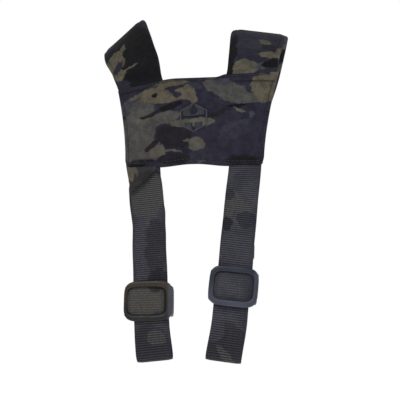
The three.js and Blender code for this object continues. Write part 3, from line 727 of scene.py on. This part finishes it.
def edge_list(width, fine, step):
    """Places from 0 to width, close together near both ends."""
    middle = np.linspace(fine[-1], width - fine[-1], int((width - 2 * fine[-1]) / step))[1:-1]
    return np.concatenate([fine, middle, width - np.array(fine)[::-1]])


def yoke_grid():
    """Flat places over the yoke, and how far they are from its sides, bottom edge and top edge."""
    fine = (0, 0.25, 0.7, 1.3, 2.0, 2.6, 2.9, 3.2, 3.5, 3.8, 4.4, 5.4)
    across = edge_list(2 * YOKE_TOP_HALF, fine, 1.7) / (2 * YOKE_TOP_HALF)
    up = edge_list(YOKE_HEIGHT, fine, 1.7) / YOKE_HEIGHT
    a, v = np.meshgrid(across * 2 - 1, up)
    low, high = yoke_edges(a * straight_half(v))
    corner = 2.2 * smoothstep(np.abs(a), 0.93, 1) * (1 - smoothstep(v, 0, 0.1))
    z = low + corner + (high - low - corner) * v
    half = yoke_half(z)
    x = a * (half - corner * 0.4)
    return x, z, (1 - np.abs(a)) * half, v * YOKE_HEIGHT, (1 - v) * YOKE_HEIGHT


def yoke_swell(x, z):
    """How far the filled yoke's front stands out at flat places, beyond its even thickness."""
    low, high = yoke_edges(x)
    a, v = x / yoke_half(z), (z - low) / (high - low)
    from_low, from_high = v * YOKE_HEIGHT, (1 - v) * YOKE_HEIGHT
    near = np.minimum((1 - np.abs(a)) * yoke_half(z), np.minimum(from_low, from_high))
    stand = np.clip(sample(YOKE_RELIEF, (a + 1) / 2, v), -0.8, 1.3)
    pillow = 0.5 * smoothstep(near, 3.5, 14)
    ripple = 0.32 * np.sin(x * 0.37 + 1.1) * np.sin(x * 0.83) * np.exp(-from_low / 9)
    ripple += 0.22 * np.sin(x * 0.51) * np.sin(x * 0.21 + 2) * np.exp(-from_high / 8)
    return (stand * 0.8 + pillow + ripple) * smoothstep(near, 2.0, 5.0)


def hem_sewn(u, v):
    return ((np.minimum(u, 1 - u) < 0.035) | (np.minimum(v, 1 - v) < 0.06)).astype(float)


YOKE_RELIEF = cloth_relief(64, 38, 2 * YOKE_TOP_HALF, YOKE_HEIGHT, 1.2, 0.012, hem_sewn)


def make_yoke():
    x, z, from_side, from_low, from_high = yoke_grid()
    near = np.minimum(np.minimum(from_side, from_low), from_high)
    round_edge = rounded(near, 1.9)
    stitch = np.zeros_like(x)
    for distance in (from_side, from_low, from_high):
        stitch += 0.42 * np.exp(-(((distance - HEM_STITCH) / 0.5) ** 2))
    front = -YOKE_DEPTH / 2 - (YOKE_DEPTH / 2) * round_edge
    front = front - yoke_swell(x, z) + np.minimum(stitch, 0.45) * round_edge
    back = -YOKE_DEPTH / 2 + (YOKE_DEPTH / 2) * round_edge
    rows, columns = x.shape
    flat = points_of(x, z, 0)
    rim = set(grid_ring(rows, columns))
    points = list(on_yoke(x, front, z))
    cloth = list(flat)
    behind = {}
    for i, point in enumerate(on_yoke(x, back, z)):
        if i in rim:
            behind[i] = i
        else:
            behind[i] = len(points)
            points.append(point)
            cloth.append(flat[i] + (0, 0, 1))
    faces = []
    for quad in grid_quads(rows, columns):
        faces += [quad, tuple(behind[i] for i in reversed(quad))]
    yoke = make_object("yoke_cover", points, faces, cloth, "yoke")
    finish_piece(yoke, "yoke", ["yoke_shell", "yoke_foam"])


def make_yoke_lining():
    """The mesh lining, ending short of the yoke's edge, with its own edge rounded."""
    inset = 4.2
    fine = (0, 0.3, 0.8, 1.6, 3)
    u, v = np.meshgrid(edge_list(100, fine, 2) / 50 - 1, edge_list(70, fine, 2) / 70)
    low, high = yoke_edges(u * straight_half(v))
    z = low + inset + (high - low - 2 * inset) * v
    half = yoke_half(z) - inset
    x = u * half
    near = np.minimum((1 - np.abs(u)) * half, np.minimum(v, 1 - v) * (YOKE_HEIGHT - 2 * inset))
    outer = -0.5 + rounded(near, 0.9) * 0.75
    slab("yoke_lining_mesh", on_yoke(x, outer, z), on_yoke(x, -0.9, z), x.shape,
         points_of(x, z, 0), "lining", "yoke", ["yoke_lining"])


def slab(name, top, under, shape, flat, material, body, replaces=()):
    """A closed slab between two grids of points of one shape."""
    rows, columns = shape
    count = rows * columns
    faces = []
    for quad in grid_quads(rows, columns):
        faces += [quad, tuple(i + count for i in reversed(quad))]
    ring = grid_ring(rows, columns)
    for i, a in enumerate(ring):
        b = ring[(i + 1) % len(ring)]
        faces.append((b, a, a + count, b + count))
    made = make_object(name, np.vstack([top, under]), faces, np.vstack([flat, flat]), material)
    return finish_piece(made, body, replaces)


# ---- Stitches ----
# A stitch's stops: share of its length, share of its thickness, lift.
STITCH_SHAPE = [(0, 0.35, -0.25), (0.12, 0.85, -0.02), (0.35, 1, 0.08), (0.65, 1, 0.08), (0.88, 0.85, -0.02),
                (1, 0.35, -0.25)]


def stitch_mesh(paths, length=2.5, gap=0.75, radius=0.24):
    """Thread stitches along paths. A path is (points, outward directions), both arrays."""
    points, faces = [], []
    for line, outs in paths:
        line, outs = np.asarray(line, float), np.asarray(outs, float)
        run = np.concatenate([[0], np.cumsum(np.linalg.norm(np.diff(line, axis=0), axis=1))])
        at = lambda s, table: np.array([np.interp(s, run, table[:, k]) for k in range(3)])
        start = gap / 2
        while start + length < run[-1]:
            first = len(points)
            for share, size, lift in STITCH_SHAPE:
                s = start + length * share
                centre, out = at(s, line), unit(at(s, outs))
                along = unit(at(min(s + 0.2, run[-1]), line) - at(max(s - 0.2, 0), line))
                side = unit(np.cross(along, out))
                for k in range(6):
                    turn = math.pi * k / 3
                    ray = side * math.cos(turn) * 1.15 + out * math.sin(turn) * 0.85
                    points.append(centre + out * lift + ray * radius * size)
            faces += loft_faces(6, 6, first)
            start += length + gap
    return points, faces


def stitches(name, paths, body, material="thread", **sizes):
    points, faces = stitch_mesh(paths, **sizes)
    made = make_object(name, points, faces, None, material)
    return finish_piece(made, body)


def yoke_path(x, z, lift=0.28):
    """A path on the yoke's front through flat places."""
    x, z = np.asarray(x, float), np.asarray(z, float)
    outs = np.tile((0.0, -1.0, 0.0), (len(x), 1))
    return on_yoke(x, -YOKE_DEPTH - lift - yoke_swell(x, z), z), outs


def make_yoke_stitches():
    t = np.linspace(0, 1, 60)
    paths = []
    inset = HEM_STITCH
    for level, top in ((YOKE_BOTTOM + inset, False), (YOKE_TOP - inset, True)):
        x = (2 * t - 1) * (yoke_half(level) - inset)
        low, high = yoke_edges(x)
        z = high - inset if top else low + inset
        paths.append(yoke_path(x, z, 0.1))
    for sign in (-1, 1):
        z = YOKE_BOTTOM + inset + (YOKE_HEIGHT - 2 * inset) * t
        x = sign * (yoke_half(z) - inset)
        paths.append(yoke_path(x, z, 0.1))
    stitches("yoke_topstitch", paths, "yoke", "thread_seam")
    bartacks = [
        ("seam_bartack", "shoulder_bartack", PAD_SEAM_OFFSET, 18, YOKE_TOP - 6.2, 1.0, 1.0, 0.2),
        ("web_bartack", "lower_bartack", LOWER_SEAM_OFFSET, 9, YOKE_BOTTOM + 5.2, 1.2, 0.9, 0.22),
    ]
    for side in SIDES:
        for name, stands_for, offset, half, level, height, pitch, radius in bartacks:
            middle = SIGN[side] * offset
            bar = zigzag(middle - half, middle + half, level, height, pitch)
            piece = stitches(f"{name}_{side}", [bar], "yoke", length=1.5, gap=0.12, radius=radius)
            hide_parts(f"{stands_for}_{side}")


def zigzag(x0, x1, z, height, pitch):
    count = int((x1 - x0) / pitch)
    x = np.linspace(x0, x1, count)
    up = np.where(np.arange(count) % 2, height, -height)
    return yoke_path(x, z + up, 0.42)


# ---- Badge ----
def make_badge():
    """An embroidered hexagon, sewn straight onto the cloth: a satin rim, a filled upper half, a bar
    and a wedge below, with the cloth showing between them."""
    w, h, rim = 11.0, 13.0, 1.3
    corners = [(0, -h), (w, -h / 2), (w, h / 2), (0, h), (-w, h / 2), (-w, -h / 2)]
    outline = []
    for k, corner in enumerate(corners):
        after = corners[(k + 1) % 6]
        for t in np.linspace(0, 1, 34, endpoint=False):
            outline.append((corner[0] + (after[0] - corner[0]) * t, corner[1] + (after[1] - corner[1]) * t))
    points, faces = [], []
    surface = lambda x, z: -YOKE_DEPTH - 0.1 - float(yoke_swell(np.array(x), np.array(z)))
    count = 8
    for i, (x, z) in enumerate(outline):
        inward = -unit((x, z))
        ridge = 0.14 * (i % 2)
        for k in range(count):
            turn = 2 * math.pi * k / count
            across = (1 + math.cos(turn)) * rim / 2
            deep = math.sin(turn) * (0.6 + ridge)
            points.append((x + inward[0] * across, surface(x, z) - deep, z + inward[1] * across))
    faces += loft_faces(len(outline), count, closed=True)
    for row in np.arange(-h + 2.2, h - 1.8, 0.5):
        reach = min(w, (h - abs(row)) * 2 * w / h) - 1.5
        if 0.7 < row < 2.0:  # the bar
            spans = [(-reach, reach, 0.5)]
        elif 2.6 < row:  # the filled upper half, split down its middle
            split = max(0.0, 2.4 - abs(row - 6.5) * 0.45)
            spans = [(-reach, -split - 0.2, 0.1), (split + 0.2, reach, 0.1)]
        elif row < -4.2:  # the wedge
            wedge = min(reach, 7.0)
            spans = [(-wedge, -1.0, 0.2), (1.0, wedge, 0.2)]
        else:
            continue
        for x0, x1, raised in spans:
            if x1 - x0 < 0.8:
                continue
            first = len(points)
            for step in range(7):
                x = x0 + (x1 - x0) * step / 6
                size = 0.6 if step in (0, 6) else 1
                for k in range(6):
                    turn = math.pi * k / 3
                    slant = (x - x0) * 0.06 * math.copysign(1, x0 + x1)
                    y = surface(x, row) - raised - math.sin(turn) * 0.3 * size
                    points.append((x, y, row + slant + math.cos(turn) * 0.27 * size))
            faces += loft_faces(7, 6, first)
    made = make_object("badge_embroidery", points, faces, None, "badge")
    finish_piece(made, "yoke", ["badge"])


# ---- Padded shoulder straps ----
def pad_width(s):
    rise = smoothstep(s, 0, CREST_AT * 0.7)
    fall = smoothstep(s, CREST_AT * 1.2, PAD_LENGTH)
    wide = PAD_SEAM_WIDTH + (PAD_CREST_WIDTH - PAD_SEAM_WIDTH) * rise
    return wide + (PAD_END_WIDTH - wide) * fall


def pad_filling(s):
    """How filled a padded strap is, from 0 at its seam to 1, its half thickness and its inward tuck."""
    filled = smoothstep(s, 0, 18)
    return filled, SEAM_HALF + (PAD_DEPTH / 2 - SEAM_HALF) * filled, SEAM_TUCK * (1 - filled)


def make_shoulder(side):
    line = SHOULDER[side]
    s = np.concatenate([[-6, -4, -2, -0.5], np.arange(1, 14, 1.2), np.arange(14, PAD_LENGTH - 8, 2.4),
                        PAD_LENGTH - np.array([7, 5.5, 4, 2.8, 1.8, 1.0, 0.4, 0])])
    around = 44
    u, sin = squared(np.cos(ring_angles(around)), 0.42), np.sin(ring_angles(around))
    sewn = lambda a, b: ((np.minimum(a, 1 - a) < 0.06) | (np.minimum(b, 1 - b) < 0.01)).astype(float)
    relief = cloth_relief(16, 96, 50, PAD_LENGTH, 3.0, 0.022, sewn)
    S, A = np.meshgrid(s, np.arange(around), indexing="ij")
    width = pad_width(S)
    end = 0.65 + 0.35 * rounded(PAD_LENGTH + 0.01 - S, 7.01)
    sideways = u[A] * width / 2 * end
    filled, thick, tuck = pad_filling(S)
    tip = np.sqrt(np.clip((PAD_LENGTH - S) / 3.0, 0.02, 1))
    from_edge = width / 2 * end - np.abs(sideways)
    outwards = np.sign(sin)[A] * thick * tip * (0.16 + 0.84 * rounded(from_edge, 3.4))
    outwards = np.where(np.abs(sin)[A] < 1e-6, 0, outwards)
    stand = sample(relief, (u[A] + 1) / 2, np.clip(S / PAD_LENGTH, 0, 1))
    crown = np.clip(stand, -0.5, 1.5) * smoothstep(from_edge, 3.5, 8) * filled
    stitch = 0.2 * np.exp(-(((from_edge - PAD_STITCH) / 0.9) ** 2)) * filled
    outwards = outwards + np.where(sin[A] > 0, 0.7 * crown - stitch, 0.25 * stitch)
    points = line.at(S, sideways, outwards - tuck)
    cloth = points_of(sideways, S, np.where(sin[A] < 0, 60.0, 0.0))  # the underside has its own print
    made = make_object(f"shoulder_strap_{side}", points, loft_faces(len(s), around), cloth,
                       f"shoulder_{side}")
    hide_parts(f"shoulder_shell_{side}", f"shoulder_foam_{side}")
    blend_at_seam(made, side)
    make_shoulder_lining(side, line)
    make_shoulder_stitches(side, line)


def blend_at_seam(made, side):
    seam, _ = joint_place(f"shoulder_{side}_fold")
    forward = unit((0, 0.8, 0.6))
    start, end = (seam - forward * 2) * MM, (seam + forward * 20) * MM
    tuple(start)
    tuple(end)
    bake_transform(made)


def make_shoulder_lining(side, line):
    far = PAD_LENGTH - np.array([8.5, 7.4, 6.6, 6])
    s = np.concatenate([[3, 3.6, 4.6, 6], np.arange(8, PAD_LENGTH - 9, 3), far])
    v = np.array([-1, -0.985, -0.95, -0.88, *np.linspace(-0.75, 0.75, 9), 0.88, 0.95, 0.985, 1])
    S, V = np.meshgrid(s, v, indexing="ij")
    half = pad_width(S) / 2 - 5
    near = np.minimum((1 - np.abs(V)) * half, np.minimum(S - 3, PAD_LENGTH - 6 - S))
    _, thick, tuck = pad_filling(S)
    face = -thick - tuck
    top = line.at(S, V * half, face - 0.55 * rounded(near, 1.0) + 0.2)
    under = line.at(S, V * half, face + 0.8)
    flat = points_of(V * half, S, 0)
    made = slab(f"shoulder_mesh_{side}", top, under, S.shape, flat, "lining", None,
                [f"shoulder_lining_{side}"])
    blend_at_seam(made, side)


def strap_path(line, s, sideways, outwards):
    """A path for stitches on a strap: its points and outward directions."""
    return line.at(s, sideways, outwards), line.frame(s)[3]


def make_shoulder_stitches(side, line):
    s = np.linspace(20, PAD_LENGTH - 6, 120)
    paths = []
    for sign in (-1, 1):
        paths.append(strap_path(line, s, sign * (pad_width(s) / 2 - PAD_STITCH), PAD_DEPTH / 2 + 0.02))
    stitches(f"shoulder_topstitch_{side}", paths, f"shoulder_{side}", "thread")
    start, stop = PAD_LENGTH - WEB_OVERLAP + 2.5, PAD_LENGTH - 8
    height = FRONT_OFFSET + WEB_THICKNESS / 2 + 0.22
    edge = WEB_WIDTH / 2 - 2.2
    a, b, c, d = (start, -edge), (stop, -edge), (stop, edge), (start, edge)
    box = []
    for (s0, x0), (s1, x1) in ((a, b), (d, c), (a, d), (b, c), (a, c), (d, b)):
        count = 12 if s0 == s1 else 24
        box.append(strap_path(line, np.linspace(s0, s1, count), np.linspace(x0, x1, count), height))
    stitches(f"box_stitch_{side}", box, f"shoulder_{side}", "thread")


# ---- Webbing ----
def folded_stops(start, end, radius, return_to, flare, offset):
    """Distance, offset and turn along a strap that runs to a loop and back inside it."""
    down = np.arange(start, end - radius, RIB_PITCH / 4)
    stops = [np.stack([down, np.full_like(down, offset), np.zeros_like(down)], 1)]
    turn = np.linspace(0, math.pi, int(math.pi * radius / (RIB_PITCH / 4)))
    s = end - radius + radius * np.sin(turn)
    stops.append(np.stack([s, offset - radius * (1 - np.cos(turn)), turn], 1))
    back = np.arange(end - radius, return_to, -RIB_PITCH / 4)[1:]
    opened = smoothstep(back, end - radius - flare, end - radius)
    place = offset - WEB_PITCH - (2 * radius - WEB_PITCH) * opened
    stops.append(np.stack([back, place, np.full_like(back, math.pi)], 1))
    return np.vstack(stops)


def web_rings(line, stops, cloth_start, drift=0.0, bow=None):
    """Ribbed webbing through the stops: points, faces and cloth places. The return run's upper part
    lies drift to the side of the front run, and bow gives both runs' sideways place along the strap."""
    s, o, turn = stops.T
    side = squared(np.cos(ring_angles(26)), 0.28) * WEB_WIDTH / 2
    rise = squared(np.sin(ring_angles(26)), 0.6) * WEB_THICKNESS / 2
    ds = np.abs(np.diff(np.stack([s, o], 1), axis=0))
    run = cloth_start + np.concatenate([[0], np.cumsum(np.hypot(ds[:, 0], ds[:, 1]))])
    flat = 1 - smoothstep(np.abs(side), WEB_WIDTH / 2 - 2.1, WEB_WIDTH / 2 - 1.3)
    rib = 0.13 * np.sin(run * 2 * math.pi / RIB_PITCH)[:, None] * flat * np.sign(rise)
    selvedge = 0.1 * np.exp(-(((np.abs(side) - (WEB_WIDTH / 2 - 1.7)) / 0.35) ** 2)) * np.sign(rise)
    waver = 0.28 * np.sin(s * 0.11 + 0.7) * np.sin(s * 0.047 + 2.1)
    t = rise - 0.13 * np.where(rise < 0, -1, 1) + rib - selvedge
    S = s[:, None] + np.sin(turn)[:, None] * t
    O = o[:, None] + np.cos(turn)[:, None] * t
    waver = waver + drift * (turn > 3) * smoothstep(s, 5, 16) * (1 - smoothstep(s, 24, 56))
    if bow is not None:
        waver = waver + bow(s)
    side = side + waver[:, None]
    return line.at(S, side, O), loft_faces(len(stops), len(rise)), points_of(side, run[:, None], 0)


# How each lower strap lies: its drift and its bow.
WEB_LIE = {
    "left": (-1.9, lambda s: 1.3 * smoothstep(s, 118, 165)),
    "right": (0, lambda s: 1.1 * smoothstep(s, 30, 80) * (1 - smoothstep(s, 115, 150))),
}


def make_lower_web(side):
    line = LOWER[side]
    stops = folded_stops(-5, line.length, LOWER_LOOP_RADIUS, LOWER_TAIL_START - 11, LOWER_LOOP_FLARE, 0)
    webbing = web_rings(line, stops, -5, *WEB_LIE[side])
    made = make_object(f"lower_webbing_{side}", *webbing, f"web_{side}")
    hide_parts(f"lower_web_{side}")
    blend_lower(made, side)
    edge = WEB_WIDTH / 2 - 2
    back = -WEB_PITCH - WEB_THICKNESS / 2 - 0.2
    hem = []
    for s in (LOWER_TAIL_START + 4, LOWER_TAIL_START + 12):
        path, out = strap_path(line, np.full(14, s), np.linspace(-edge, edge, 14), back)
        hem.append((path, -out))
    stitches(f"tail_hem_{side}", hem, f"lower_{side}", "thread")


def blend_lower(made, side):
    seam, _ = joint_place(f"lower_{side}_swing")
    start, end = (seam + (0, 0, 1)) * MM, (seam - (0, 0, 16)) * MM
    tuple(start)
    tuple(end)
    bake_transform(made)


def make_front_web(side):
    line = SHOULDER[side]
    start = PAD_LENGTH - WEB_OVERLAP
    stops = folded_stops(start, line.length + BAR_LOOP_RADIUS, BAR_LOOP_RADIUS, line.length - FRONT_RETURN,
                         BAR_LOOP_FLARE, FRONT_OFFSET)
    made = make_object(f"front_webbing_{side}", *web_rings(line, stops, start), f"web_{side}")
    finish_piece(made, f"shoulder_{side}", [f"front_web_{side}"])


def make_strap_cover():
    """The slanted tab of print cloth over the top of the left lower strap, its right edge lifted."""
    line = LOWER["left"]
    s = np.concatenate([[-3, -1, 0.5], np.linspace(2, 19, 14), [19.6]])
    v = np.array([0, 0.012, 0.04, 0.1, *np.linspace(0.2, 0.86, 12), 0.93, 0.97, 0.992, 1])
    S, V = np.meshgrid(s, v, indexing="ij")
    left = -WEB_WIDTH / 2 - 0.4 + 0.2 * smoothstep(S, 0, 14)
    right = left + 24.5 + (1.6 - 24.5) * np.clip((S - 1) / 18.6, 0, 1) ** 1.05
    sideways = left + (right - left) * V
    lift = WEB_THICKNESS / 2 + 0.15 + 0.55 * smoothstep(S, -2, 6) + 2.4 * V**3 * smoothstep(S, -1, 7)
    near = np.minimum(V, 1 - V) * (right - left)
    thick = 0.75 * np.sqrt(np.clip(near / 0.5, 0.08, 1)) + 0.18 * smoothstep(V, 0.8, 0.9)
    buckle = 0.22 * np.sin(S * 0.8 + V * 5) * smoothstep(S, 2, 6)
    top = line.at(S, sideways, lift + thick + buckle)
    under = line.at(S, sideways, lift + buckle * 0.6)
    flat = points_of(sideways - 38, YOKE_BOTTOM - S, 0)
    made = slab("strap_cover", top, under, S.shape, flat, "cover", None,
                ["strap_cover_left"])
    blend_lower(made, "left")


# ---- Hardware ----
def local_frame(side, family):
    """The turn and origin of a slider or keeper at its CAD place: X across, Y inward, Z up."""
    if family == "slider":
        line, shift, offset, tilt = LOWER[side], SLIDER_SHIFT[side], 0, SLIDER_TILT[side]
        at = SLIDER_AT[side]
    else:
        line, shift, offset, tilt = SHOULDER[side], 0, FRONT_OFFSET, 0
        at = line.length - KEEPER_PLACE
    _, along, _, out = (table[0] for table in line.frame(at))
    up, inward = -along, -out
    x = unit(np.cross(inward, up))
    turn = Matrix((x, inward, up)).transposed() @ Matrix.Rotation(math.radians(tilt), 3, "Y")
    origin = line.at(at, shift, offset)[0]
    return np.array(turn), origin


def squircle(angle, half_x, half_z, power):
    c, s = np.cos(angle), np.sin(angle)
    radius = (np.abs(c / half_x) ** power + np.abs(s / half_z) ** power) ** (-1 / power)
    return radius * c, radius * s


def slider_solid(width, window_shift):
    """Points and faces of a slider in its own frame: front ring, two side walls and a back bar."""
    angle = ring_angles(120)
    ox, oz = squircle(angle, width / 2, SLIDER_HEIGHT / 2, 4.2)
    ix, iz = squircle(angle, width / 2 - SLIDER_RIM, SLIDER_HEIGHT / 2 - SLIDER_BAR, 5.5)
    ix = ix + window_shift
    ring = 16
    sx, sy = (squared(wave(ring_angles(ring)), 0.6) for wave in (np.cos, np.sin))
    points = []
    middle = (SLIDER_FRONT + SLIDER_FRONT_BACK) / 2
    half = (SLIDER_FRONT_BACK - SLIDER_FRONT) / 2
    for k in range(len(angle)):
        belly = 0.35 * np.cos(angle[k]) ** 2
        for a, b in zip(sx, sy):
            share = (1 + a) / 2
            x, z = ix[k] + (ox[k] - ix[k]) * share, iz[k] + (oz[k] - iz[k]) * share
            points.append((x, middle + b * half + belly, z))
    faces = loft_faces(len(angle), ring, closed=True)
    for sign in (-1, 1):
        centre = sign * (width / 2 - SLIDER_SIDE / 2 - 0.15)
        add_bar(points, faces, "y", SLIDER_FRONT + 1.2, SLIDER_DEEP, (centre, 0), (SLIDER_SIDE / 2, 11.0))
    add_bar(points, faces, "x", 0.5 - width / 2, width / 2 - 0.5, (SLIDER_DEEP - 1.2, 0), (1.2, 3.4))
    return np.array(points), faces


def add_bar(points, faces, axis, low, high, centre, half):
    """Adds a rounded bar along x or y, with domed ends, to a list of points and faces."""
    first = len(points)
    domed = [(0, 0.55), (0.35, 0.86), (1.0, 1)]
    stops = [(low + d, size) for d, size in domed] + [(high - d, size) for d, size in reversed(domed)]
    count = 16
    for place, size in stops:
        for turn in ring_angles(count):
            a = squared(math.cos(turn), 0.5) * half[0] * (1 - (1 - size) * 0.6)
            b = squared(math.sin(turn), 0.5) * (half[1] - (1 - size) * 1.2)
            if axis == "y":
                points.append((centre[0] + a, place, centre[1] + b))
            else:
                points.append((place, centre[0] + a, centre[1] + b))
    faces += loft_faces(len(stops), count, first)


def make_slider(side, family):
    if family == "slider":
        name, width, material, at = f"slider_{side}", SLIDER_WIDTH, f"slider_{side}", SLIDER_AT[side]
    else:
        name, width, material, at = f"front_keeper_{side}", KEEPER_WIDTH, "plastic", PAD_LENGTH
    turned, origin = local_frame(side, family)
    points, faces = slider_solid(width, WINDOW_SHIFT if name == "slider_left" else 0)
    made = make_object(f"{name}_moulding", points @ turned.T + origin, faces, points, material)
    finish_piece(made, name, [name])
    make_window_web(name, f"window_{side}", width, at, turned, origin)


def make_window_web(body, material, width, at, turned, origin):
    """The webbing where it comes forward inside a slider's window. Its cloth runs through at."""
    height = SLIDER_HEIGHT / 2 - SLIDER_BAR + 2.4
    z = np.arange(-height, height + 0.01, RIB_PITCH / 6)
    near_edge = np.array([0.88, 0.92, 0.96, 0.985, 1])
    x = np.concatenate([-near_edge[::-1], np.linspace(-0.8, 0.8, 15), near_edge])
    Z, X = np.meshgrid(z, x, indexing="ij")
    hump = np.cos(np.pi * Z / (2 * height)) ** 0.9
    rib = 0.06 * np.sin(Z * 2 * math.pi / RIB_PITCH) * (1 - smoothstep(np.abs(X), 0.86, 0.93))
    edge = 0.5 * smoothstep(np.abs(X), 0.9, 1.0)
    front = -1.0 - 1.75 * hump - rib + edge
    back = -0.95 - 0.75 * hump + edge * 0.2
    gap = 0.9 if body == "slider_left" else -0.3  # between the webbing and one side of the window
    sideways = X * (width / 2 - SLIDER_RIM - gap / 2 + 0.15)
    shift = WINDOW_SHIFT - gap / 2 - 0.15 if body == "slider_left" else 0
    place = lambda y: points_of(sideways + shift, y, Z) @ turned.T + origin
    slab(f"{body}_window_web", place(front), place(back), Z.shape, points_of(sideways, at - Z, 0),
         material, body)


def make_rounded_copy(node, body, radius=0.45):
    """A moulded piece: the CAD node's own shape with its flat faces cleaned and its edges rounded."""
    mesh = frame["nodes"][node].data.copy()
    made = bpy.data.objects.new(f"{node}_moulding", mesh)
    bpy.context.scene.collection.objects.link(made)
    mesh.materials.clear()
    mesh.materials.append(MATERIALS["plastic"])
    bm = bmesh.new()
    bm.from_mesh(mesh)
    bmesh.ops.remove_doubles(bm, verts=bm.verts, dist=1e-6)
    bmesh.ops.dissolve_limit(bm, angle_limit=math.radians(4), verts=bm.verts, edges=bm.edges)
    bm.to_mesh(mesh)
    bm.free()
    bevel = made.modifiers.new("edges", "BEVEL")
    bevel.width = radius * MM
    bevel.segments = 3
    bevel.limit_method = "ANGLE"
    bevel.angle_limit = math.radians(35)
    bevel.harden_normals = True
    mesh.polygons.foreach_set("use_smooth", [True] * len(mesh.polygons))
    finish_piece(made, body, [node])


# ---- Room ----
def area_light(name, place, target, size, power, colour=(1, 1, 1)):
    data = bpy.data.lights.new(name, "AREA")
    data.shape = "DISK"
    data.size = size
    data.energy = power
    data.color = colour
    lamp = bpy.data.objects.new(name, data)
    bpy.context.scene.collection.objects.link(lamp)
    lamp.location = place
    lamp.rotation_euler = (Vector(target) - Vector(place)).to_track_quat("-Z", "Y").to_euler()


def make_room():
    world = bpy.data.worlds.new("studio")
    bpy.context.scene.world = world
    world.use_nodes = True
    nodes, links = world.node_tree.nodes, world.node_tree.links
    background = nodes["Background"]
    background.inputs["Color"].default_value = (1, 1, 1, 1)
    ray = nodes.new("ShaderNodeLightPath")
    strength = nodes.new("ShaderNodeMapRange")
    strength.inputs["To Min"].default_value = 0.45
    strength.inputs["To Max"].default_value = 1.0
    links.new(ray.outputs["Is Camera Ray"], strength.inputs["Value"])
    links.new(strength.outputs["Result"], background.inputs["Strength"])
    area_light("key", (-0.25, -0.85, 0.5), (0, 0, -0.03), 0.45, 6)
    area_light("window", (0.85, -0.4, 0.15), (0, 0, -0.05), 0.5, 3, (0.72, 0.84, 1))
    area_light("rim", (0.3, 0.9, 0.7), (0, 0.05, 0), 0.7, 2)
    bpy.context.scene.view_settings.view_transform = "Standard"
    size, level = 6.0, -0.30
    corners = [(-size, -size, level), (size, -size, level), (size, size, level), (-size, size, level)]
    floor = make_object("floor", np.array(corners) / MM, [(0, 1, 2, 3)], closed=False)
    sh = Shader("pale_floor")
    place = sh.node("ShaderNodeTexCoord").outputs["Object"]
    sh.put(sh.surface.inputs["Emission Color"], (1, 1, 1))
    sh.put(sh.surface.inputs["Emission Strength"], 0.62)
    floor.data.materials.append(sh.finish(sh.tint(sh.plain((0.9, 0.9, 0.9)), sh.noise(place, 3), 0.01), 0.9))


make_camera()
make_yoke()
make_yoke_lining()
make_yoke_stitches()
make_badge()
for each_side in SIDES:
    make_shoulder(each_side)
    make_front_web(each_side)
    make_lower_web(each_side)
    make_slider(each_side, "slider")
    make_slider(each_side, "keeper")
    make_rounded_copy(f"buckle_body_{each_side}", f"buckle_{each_side}")
    for hand in "ab":
        make_rounded_copy(f"latch_arm_{each_side}_{hand}", f"latch_arm_{each_side}_{hand}", 0.4)
make_strap_cover()
make_room()
